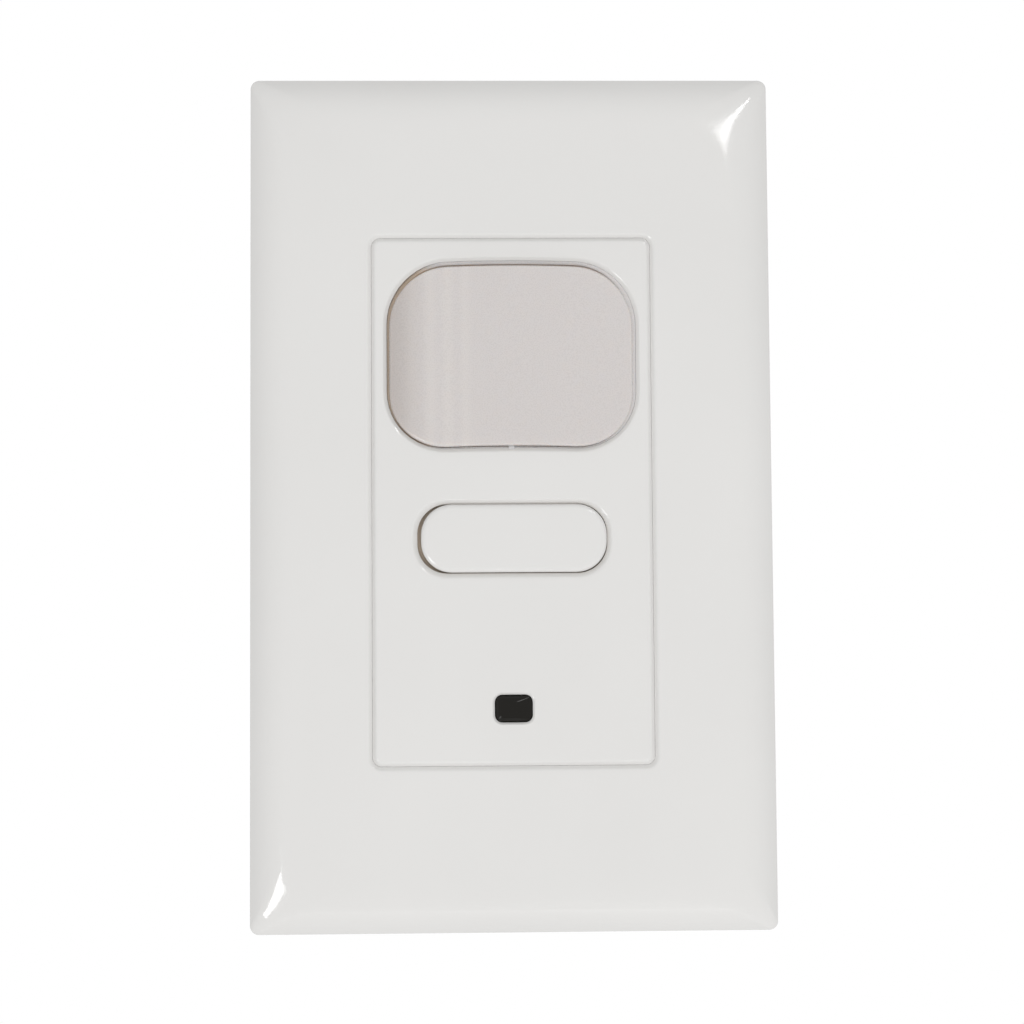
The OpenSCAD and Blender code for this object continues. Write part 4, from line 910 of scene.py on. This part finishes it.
@dataclass
class Lens:
    """The milky lens: a shell with a raised, gently curved front, a shoulder, a flange and a rib.

    fall_x and groove_x are the places across the lens between which the shoulder falls at the left
    and the groove ends at the right. groove_low is the groove's least share of its full depth.
    """

    face: Ring = Ring(16.2, 12.03, 7.6, x=-0.055, y=18.67, arch=0.55)
    shoulder: Ring = Ring(16.58, 12.53, 8.03, 6.0, y=19.0, arch=0.5)
    flange: Ring = Ring(16.9, 13.55, 7.6, y=19.0)
    fall: float = 0.5
    fall_x: Span = (9.0, 15.0)
    groove_w: float = 0.17
    groove_h: float = 0.3
    groove_y: float = 0.14
    groove_d: float = 0.9
    groove_x: Span = (8.0, 16.0)
    groove_low: float = 0.35
    middle_z: float = 7.2
    sag: float = 0.6
    roll: float = 2.6
    wall: float = 0.9
    foot_z: float = 3.6
    foot_rise: float = 0.3
    flange_z: float = 4.6
    soft: float = 0.35
    inner_soft: float = 0.3
    flange_soft: float = 0.1
    shoulder_soft: float = 0.08
    groove_soft: float = 0.05
    edge_steps: int = 6
    inner_steps: int = 14
    outer_steps: int = 18
    rib: Ring = Ring(0.4, 0.3, 0.1)
    rib_top: float = 6.2
    rib_out: float = 0.15
    rib_soft: float = 0.12
    rib_in: float = 0.2
    rib_tip_r: float = 0.05

    def front(self, x: Array, inset: float) -> Array:
        """Height of the front, or of the inner face for an inset: middle - sag |x / half width|^roll."""
        share = np.abs((x - self.face.x) / self.face.half_w)
        return self.middle_z - inset - self.sag * share ** self.roll

    def curved(self, outline: Outline, inset: float, soft: float, count: int) -> Array:
        """Loops from the outer edge of a round face to a line in its middle.

        The rounded edge has inset soft (1 - cos t) and drop soft (1 - sin t) for t over a quarter
        turn, and the rest shrinks evenly to the middle while it follows the round front.

        Args:
            outline: how many points a loop has.
            inset: how far the face lies inside the lens's outside.
            soft: radius of its rounded edge.
            count: loops between the edge and the middle.

        Returns:
            Points, shaped (loops, points of a loop, 3).
        """
        t = np.linspace(0.0, math.pi / 2, self.edge_steps + 1)
        s = np.linspace(0.0, 1.0, count + 1)[1:]
        edge = self.face.at(0.0, grow=-inset)
        shrink = np.concatenate([soft * (1 - np.cos(t)), soft + (edge.half_h - soft) * s])
        drop = np.concatenate([soft * (1 - np.sin(t)), np.zeros_like(s)])
        radius = np.concatenate([edge.radius - soft * (1 - np.cos(t)), (edge.radius - soft) * (1 - s)])
        loops = outline.loops(shrunk(edge, shrink, radius, np.zeros_like(shrink)))
        loops[..., 2] = self.front(loops[..., 0], inset) - drop[:, None]
        return loops

    def side(self, outline: Outline) -> Array:
        """Loops from the inner wall's foot round the flange and over the shoulder to the front's edge.

        The shoulder's height above the flange shrinks by fall towards the left, by a smooth step. The
        groove between it and the front ends towards both sides, and is deepest along the top.

        Args:
            outline: how many points a loop has.

        Returns:
            Points, shaped (loops, points of a loop, 3).
        """
        face = self.face
        top = self.shoulder.z
        rings = [face.at(self.foot_z + self.foot_rise, grow=-self.wall),
                 face.at(self.foot_z, self.flange_soft, grow=-self.wall),
                 self.flange.at(self.foot_z, self.flange_soft),
                 self.flange.at(self.flange_z, self.flange_soft),
                 self.shoulder.at(self.flange_z),
                 self.shoulder.at(top, self.shoulder_soft),
                 face.at(top, self.groove_soft, grow=self.groove_w, half_h=face.half_h + self.groove_h,
                         y=face.y + self.groove_y),
                 face.at(top)]
        loops = outline.loops(softened(rings))
        left = ramp(-loops[..., 0], self.fall_x)
        loops[..., 2] -= np.maximum(loops[..., 2] - self.flange_z, 0.0) * self.fall * eased(left)
        right = eased(ramp(loops[-1, :, 0], self.groove_x))
        upper = (loops[-1, :, 1] - face.y) / face.half_h
        depth = self.groove_d * np.clip((1 + upper) / 2, self.groove_low, 1.0)
        loops[-1, :, 2] -= depth * (1 - left[-1]) * (1 - right)
        return loops

    def tick(self) -> Patch:
        """The small rib at the middle of the lower edge.

        Returns:
            The rib's surface, closed at both ends.
        """
        foot_y = self.face.y - self.face.half_h + self.face.arch - self.rib_out
        rib = replace(self.rib, z=self.foot_z, x=self.face.x, y=foot_y)
        rings = [rib,
                 rib.at(self.rib_top, self.rib_soft),
                 rib.at(self.rib_top, grow=-self.rib_in, radius=self.rib_tip_r)]
        return lofted(Outline(places(1), places(1), 3).loops(softened(rings)), caps=(True, True))

    def build(self) -> Object:
        """Carry the shell's section from the middle inside, round the flange, to the middle outside.

        Returns:
            The piece.
        """
        outline = Outline(places(24), places(8))
        inside = self.curved(outline, self.wall, self.inner_soft, self.inner_steps)[::-1]
        outside = self.curved(outline, 0.0, self.soft, self.outer_steps)
        shell = lofted(np.concatenate([inside, self.side(outline), outside]))
        return make_piece("lens_shell", [shell, self.tick()])


@dataclass
class PushButton:
    """The long button: a hollow cap with a flange, a stem over the switch and two guide pins.

    brow and brow_in say where the rounded edge meets the crown: the share of the crown that is
    still to rise there, and its distance from the side in soft lengths. post_chamfer is a share of
    a post's radius, and post_seat is how far a post reaches into the ceiling.
    """

    face: Ring = Ring(12.33, 4.53, 4.05, x=0.17, y=-5.12)
    top_z: float = 6.75
    crown: float = 0.08
    crown_steps: int = 8
    brow: float = 0.7
    brow_in: float = 1.1
    soft: float = 0.7
    wall: float = 1.4
    ceiling_z: float = 5.35
    ceiling_soft: float = 0.3
    foot_z: float = 3.8
    flange_z: float = 4.6
    flange: float = 1.1
    flange_gain: float = 0.6
    flange_soft: float = 0.1
    post_chamfer: float = 0.3
    post_soft: float = 0.15
    post_seat: float = 0.3
    pin_x: float = 7.8
    pin_r: float = 1.2
    pin_foot: float = -3.1
    stem_r: float = 1.5
    stem_foot: float = -1.45

    def post(self, x: float, radius: float, foot: float) -> Patch:
        """A round post from its chamfered foot up into the cap's ceiling.

        Args:
            x: the post's place across the button.
            radius: the post's radius.
            foot: the height of its lower end.

        Returns:
            The post's surface, closed at both ends.
        """
        side = Ring(radius, radius, radius, x=self.face.x + x, y=self.face.y)
        chamfer = self.post_chamfer * radius
        rings = [side.at(foot, grow=-chamfer),
                 side.at(foot + chamfer, self.post_soft),
                 side.at(self.ceiling_z + self.post_seat)]
        return lofted(Outline(places(0), places(0), 8).loops(softened(rings)), caps=(True, True))

    def build(self) -> Object:
        """Carry the cap's section from its ceiling round the flange and over the crowned front.

        Returns:
            The piece.
        """
        face = self.face
        inner = face.at(self.ceiling_z, self.ceiling_soft, grow=-self.wall)
        flange = face.at(self.foot_z, self.flange_soft, grow=self.flange,
                         radius=face.radius + self.flange_gain)
        rings = [inner.spine(),
                 inner,
                 inner.at(self.foot_z, self.flange_soft),
                 flange,
                 flange.at(self.flange_z, self.flange_soft),
                 face.at(self.flange_z, self.flange_soft),
                 face.at(self.top_z - self.crown, self.soft),
                 face.at(self.top_z - self.brow * self.crown, grow=-self.brow_in * self.soft)]
        top = crowned(rings[-1], self.brow * self.crown, self.crown_steps)[1:]
        outline = Outline(places(20), places(4), 10)
        cap = lofted(outline.loops(np.concatenate([softened(rings), top])))
        posts = [self.post(0.0, self.stem_r, self.stem_foot),
                 self.post(-self.pin_x, self.pin_r, self.pin_foot),
                 self.post(self.pin_x, self.pin_r, self.pin_foot)]
        return make_piece("button_cap", [cap, *posts])


@dataclass
class ButtonSprings:
    """The two coil springs around the button's guide pins."""

    wire: float = 0.4
    turns: float = 5.5
    close: float = 0.6
    pin_x: float = 7.8
    y: float = -5.15
    turn_steps: int = 28
    wire_steps: int = 10

    def build(self) -> Object:
        """Wind each spring: a circle of wire carried along a helix whose ends lie closer.

        At share t of the length the helix has angle 2 pi turns t and height
        t - close sin(2 pi t) / (2 pi) of the spring's length.

        Returns:
            The piece.
        """
        low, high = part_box("button_springs")
        foot = -high.y / MM + self.wire / 2
        head = -low.y / MM - self.wire / 2
        coil_r = (high.z - low.z) / MM / 2 - self.wire / 2
        t = np.linspace(0.0, 1.0, int(self.turns * self.turn_steps) + 1)[:, None]
        turn = 2 * math.pi * self.turns * t
        around = np.linspace(0.0, 2 * math.pi, self.wire_steps, endpoint=False)[None, :]
        out = coil_r + self.wire / 2 * np.cos(around)
        rise = foot + (head - foot) * (t - self.close * np.sin(2 * math.pi * t) / (2 * math.pi))
        z = rise + self.wire / 2 * np.sin(around)
        coil = np.stack([out * np.cos(turn), out * np.sin(turn) + self.y, z], axis=-1)
        shift = np.array([self.pin_x, 0.0, 0.0])
        coils = [lofted(place, caps=(True, True)) for place in (coil + shift, coil - shift)]
        return make_piece("button_spring_pair", coils)


@dataclass
class LightWindow:
    """The small dark window over the light cell, with its flange and light pipe."""

    edge: Ring = Ring(2.4, 1.725, 0.9, y=-27.6)
    pipe: Ring = Ring(1.7, 0.9, 0.2, -3.9, y=-27.6)
    top_z: float = 6.65
    crown: float = 0.6
    crown_steps: int = 16
    roll_left: float = 8.0
    roll_right: float = 2.0
    roll_up: float = 4.0
    roll_down: float = 8.0
    flange: float = 0.9
    flange_low: float = 3.6
    flange_high: float = 4.6
    pipe_soft: float = 0.12
    flange_soft: float = 0.1
    edge_soft: float = 0.05

    def dome(self, x: Array, y: Array) -> Array:
        """Height of the front above its edge: crown (1 - |x / half width|^p) (1 - |y / half height|^q).

        p and q are the roll on that side of the middle.

        Args:
            x: places across the window.
            y: places up the wall.

        Returns:
            The heights.
        """
        u = np.clip(x / self.edge.half_w, -1.0, 1.0)
        v = np.clip((y - self.edge.y) / self.edge.half_h, -1.0, 1.0)
        roll_u = np.where(u > 0.0, self.roll_right, self.roll_left)
        roll_v = np.where(v > 0.0, self.roll_up, self.roll_down)
        return self.crown * (1 - np.abs(u) ** roll_u) * (1 - np.abs(v) ** roll_v)

    def build(self) -> Object:
        """Carry the section from the pipe's foot, round the flange, to the middle of the front.

        Returns:
            The piece.
        """
        edge = self.edge
        flange = edge.at(self.flange_low, self.flange_soft, grow=self.flange, radius=edge.radius)
        rings = [self.pipe.spine(),
                 self.pipe.at(self.pipe.z, self.pipe_soft),
                 self.pipe.at(self.flange_low, self.flange_soft),
                 flange,
                 flange.at(self.flange_high, self.flange_soft),
                 edge.at(self.flange_high, self.edge_soft),
                 edge.at(self.top_z - self.crown)]
        front = crowned(rings[-1], 0.0, self.crown_steps)[1:]
        outline = Outline(places(16), places(10), 10)
        loops = outline.loops(np.concatenate([softened(rings), front]))
        face = loops[-len(front) - 1:]
        face[..., 2] += self.dome(face[..., 0], face[..., 1])
        return make_piece("light_window", [lofted(loops)])


@dataclass
class PlainNodes:
    """The solids that keep their own shape: they get softened edges and a finish.

    bevel is in millimetres, merge in metres, and flat and sharp are angles in degrees.
    """

    bevel: float = 0.12
    bevel_steps: int = 2
    merge: float = 1e-6
    flat: float = 1.0
    sharp: float = 32.0

    def dress(self, node: str, material: Material) -> None:
        """Soften one solid's edges with modifiers and give it its finish.

        Args:
            node: the solid's name.
            material: its finish.
        """
        solid = frame["nodes"][node]
        for slot in solid.material_slots:
            slot.material = material
        weld = solid.modifiers.new("join", "WELD")
        weld.merge_threshold = self.merge
        plain = solid.modifiers.new("plain", "DECIMATE")
        plain.decimate_type = "DISSOLVE"
        plain.angle_limit = math.radians(self.flat)
        edge = solid.modifiers.new("edge", "BEVEL")
        edge.width = self.bevel * MM
        edge.segments = self.bevel_steps
        edge.limit_method = "ANGLE"
        edge.angle_limit = math.radians(self.sharp)


def stand_off(right: float, up: float, distance: float, turn: float,
              target: Triple = (0.0, 0.0, 0.0)) -> Matrix:
    """Stand a lamp or camera off a target, looking at it.

    Its direction from the target is (sin r cos u, -cos r cos u, sin u).

    Args:
        right: the direction's angle r to the right of the front, in degrees.
        up: the direction's angle u above level, in degrees.
        distance: how far off it stands, in metres.
        turn: how far it is turned about its own view, in degrees.
        target: the point that it faces.

    Returns:
        Its place and turn in the scene.
    """
    r = math.radians(right)
    u = math.radians(up)
    away = Vector((math.sin(r) * math.cos(u), -math.cos(r) * math.cos(u), math.sin(u)))
    facing = away.to_track_quat("Z", "Y").to_matrix().to_4x4()
    place = Matrix.Translation(Vector(target) + away * distance)
    return place @ facing @ Matrix.Rotation(math.radians(turn), 4, "Z")


class LampUse(Enum):
    """What a lamp is for."""

    LIGHT = "lights the surfaces, and no glossy one mirrors it"
    GLOSS = "lights nothing by itself, and glossy surfaces mirror it"


@dataclass
class Lamp:
    """One lamp: a rectangle at a direction and distance from the switch's front.

    right and up are the angles of its direction in degrees, distance is in metres, and turn tilts
    its long side. level is the share of a plain white front's light that a LIGHT lamp gives by
    itself, or how many times as bright as white a GLOSS lamp is.
    """

    name: str
    use: LampUse
    right: float
    up: float
    distance: float
    size: Span
    level: float
    turn: float = 0.0

    def power(self) -> float:
        """Watts: pi^2 level d^2 gives pi * level at its distance, and pi area level is its own glow."""
        if self.use is LampUse.LIGHT:
            return math.pi ** 2 * self.level * self.distance ** 2
        return math.pi * self.size[0] * self.size[1] * self.level

    def build(self) -> None:
        """Make the lamp, facing the switch."""
        data = bpy.data.lights.new(self.name, "AREA")
        data.shape = "RECTANGLE"
        data.size, data.size_y = self.size
        data.energy = self.power()
        lamp = add_object(self.name, data)
        lamp.matrix_world = stand_off(self.right, self.up, self.distance, self.turn)
        lamp.visible_glossy = self.use is LampUse.GLOSS
        lamp.visible_diffuse = self.use is LampUse.LIGHT


@dataclass
class Studio:
    """The pale floor, the white surroundings and the lamps."""

    floor_z: float = -0.85
    floor_half: float = 4.0
    floor_colour: tuple[float, float, float, float] = (0.85, 0.85, 0.85, 1.0)
    floor_lift: float = 0.45
    fill: float = 0.63
    lamps: tuple[Lamp, ...] = (
        Lamp("front_soft", LampUse.LIGHT, 0.0, 0.0, 1.2, (0.8, 0.8), 0.20),
        Lamp("low_right", LampUse.LIGHT, 8.0, -35.0, 1.2, (0.3, 0.3), 0.23),
        Lamp("high_strip", LampUse.GLOSS, 27.1, 29.0, 0.6, (0.38, 0.024), 12.0, turn=34.4),
        Lamp("low_strip", LampUse.GLOSS, -32.6, -23.2, 0.6, (0.315, 0.10), 9.0, turn=40.2),
    )

    @staticmethod
    def white_for_viewer(tree: NodeTree) -> Node:
        """A mask that is 1 where the camera, a mirror or clear plastic looks, and 0 for soft light.

        Args:
            tree: the node tree that it joins.

        Returns:
            The node whose Value is the mask.
        """
        path = add_node(tree, "LightPath")
        first = add_node(tree, "Math", operation="MAXIMUM")
        second = add_node(tree, "Math", operation="MAXIMUM")
        wire(tree,
             (path, "Is Camera Ray", first, 0),
             (path, "Is Glossy Ray", first, 1),
             (first, "Value", second, 0),
             (path, "Is Transmission Ray", second, 1))
        return second

    def surroundings(self) -> None:
        """White where the camera or a reflection looks, and a plain even fill for soft light."""
        world = bpy.data.worlds.new("surroundings")
        bpy.context.scene.world = world
        world.use_nodes = True
        tree = world.node_tree
        tree.nodes.clear()
        seen = add_node(tree, "Background", {"Color": WHITE})
        fill = add_node(tree, "Background", {"Color": WHITE, "Strength": self.fill})
        mix = add_node(tree, "MixShader")
        wire(tree,
             (self.white_for_viewer(tree), "Value", mix, "Fac"),
             (fill, "Background", mix, 1),
             (seen, "Background", mix, 2),
             (mix, "Shader", add_node(tree, "OutputWorld"), "Surface"))

    def floor(self) -> None:
        """A pale floor below the switch that shows white and still takes its shadow."""
        reach = self.floor_half
        corners = [(-reach, -reach, self.floor_z), (reach, -reach, self.floor_z),
                   (reach, reach, self.floor_z), (-reach, reach, self.floor_z)]
        mesh = bpy.data.meshes.new("floor")
        mesh.from_pydata(corners, [], [[0, 1, 2, 3]])
        floor = add_object("floor", mesh)
        material = bpy.data.materials.new("pale_floor")
        material.use_nodes = True
        tree = material.node_tree
        tree.nodes.clear()
        matt = add_node(tree, "BsdfDiffuse", {"Color": self.floor_colour})
        lift = add_node(tree, "Emission")
        strength = add_node(tree, "Math", {1: self.floor_lift}, operation="MULTIPLY")
        both = add_node(tree, "AddShader")
        wire(tree,
             (self.white_for_viewer(tree), "Value", strength, 0),
             (strength, "Value", lift, "Strength"),
             (matt, "BSDF", both, 0),
             (lift, "Emission", both, 1),
             (both, "Shader", add_node(tree, "OutputMaterial"), "Surface"))
        mesh.materials.append(material)

    def build(self) -> None:
        """Set up the plain white studio."""
        bpy.context.scene.view_settings.view_transform = "Standard"
        self.surroundings()
        self.floor()
        for lamp in self.lamps:
            lamp.build()


@dataclass
class PhotoCamera:
    """The camera at the photograph's angle: just left of the middle and a little below it."""

    distance: float = 0.300
    right: float = -1.54
    up: float = -3.84
    roll: float = -0.41
    focal_pixels: float = 2216.0
    sensor_mm: float = 36.0
    clip: Span = (0.01, 50.0)
    target: Triple = (0.00010, 0.0, -0.00123)

    def build(self) -> None:
        """Place the camera on its direction, look at the target and make it the scene's camera."""
        data = bpy.data.cameras.new("photo_camera")
        data.sensor_width = self.sensor_mm
        data.sensor_fit = "HORIZONTAL"
        data.lens = self.focal_pixels / PHOTO_PIXELS * self.sensor_mm
        data.clip_start, data.clip_end = self.clip
        camera = add_object("photo_camera", data)
        camera.matrix_world = stand_off(self.right, self.up, self.distance, self.roll, self.target)
        bpy.context.scene.camera = camera


def main() -> None:
    """Build the camera, the studio, the pieces and the finishes, and report each piece."""
    logging.basicConfig(level=logging.INFO, format="%(name)s: %(message)s")
    PhotoCamera().build()
    Studio().build()
    groups = ShaderGroups()
    finishes = {finish.title(): finish for finish in (*FINISHES, BUTTON_GAP_SHADED)}
    materials = {title: finish.material(groups) for title, finish in finishes.items()}

    springs = ButtonSprings().build()
    made = (
        (WallPlate().build(), "wall_plate", "switch", "white_plastic"),
        (FrontCover().build(), "front_cover", "switch", "white_plastic"),
        (Lens().build(), "fresnel_lens", "switch", "lens_plastic"),
        (PushButton().build(), "push_button", "button", "button_white_gap_shade"),
        (springs, "button_springs", "switch", "screw_steel"),
        (LightWindow().build(), "photocell_window", "switch", "dark_window"),
    )
    for piece, node, body, title in made:
        piece.data.materials.append(materials[title])
        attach(piece, body)
        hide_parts(node)
        LOG.info("%s replaces %s on %s", piece.name, node, body)
    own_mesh(springs)

    plain = PlainNodes()
    replaced = {node for _, node, _, _ in made}
    for part in frame["record"]["subparts"]:
        if part["node"] not in replaced:
            plain.dress(part["node"], materials[part["material_slot"]])
            LOG.info("%s keeps its shape, in %s", part["node"], part["material_slot"])


if __name__ == "__main__":
    main()
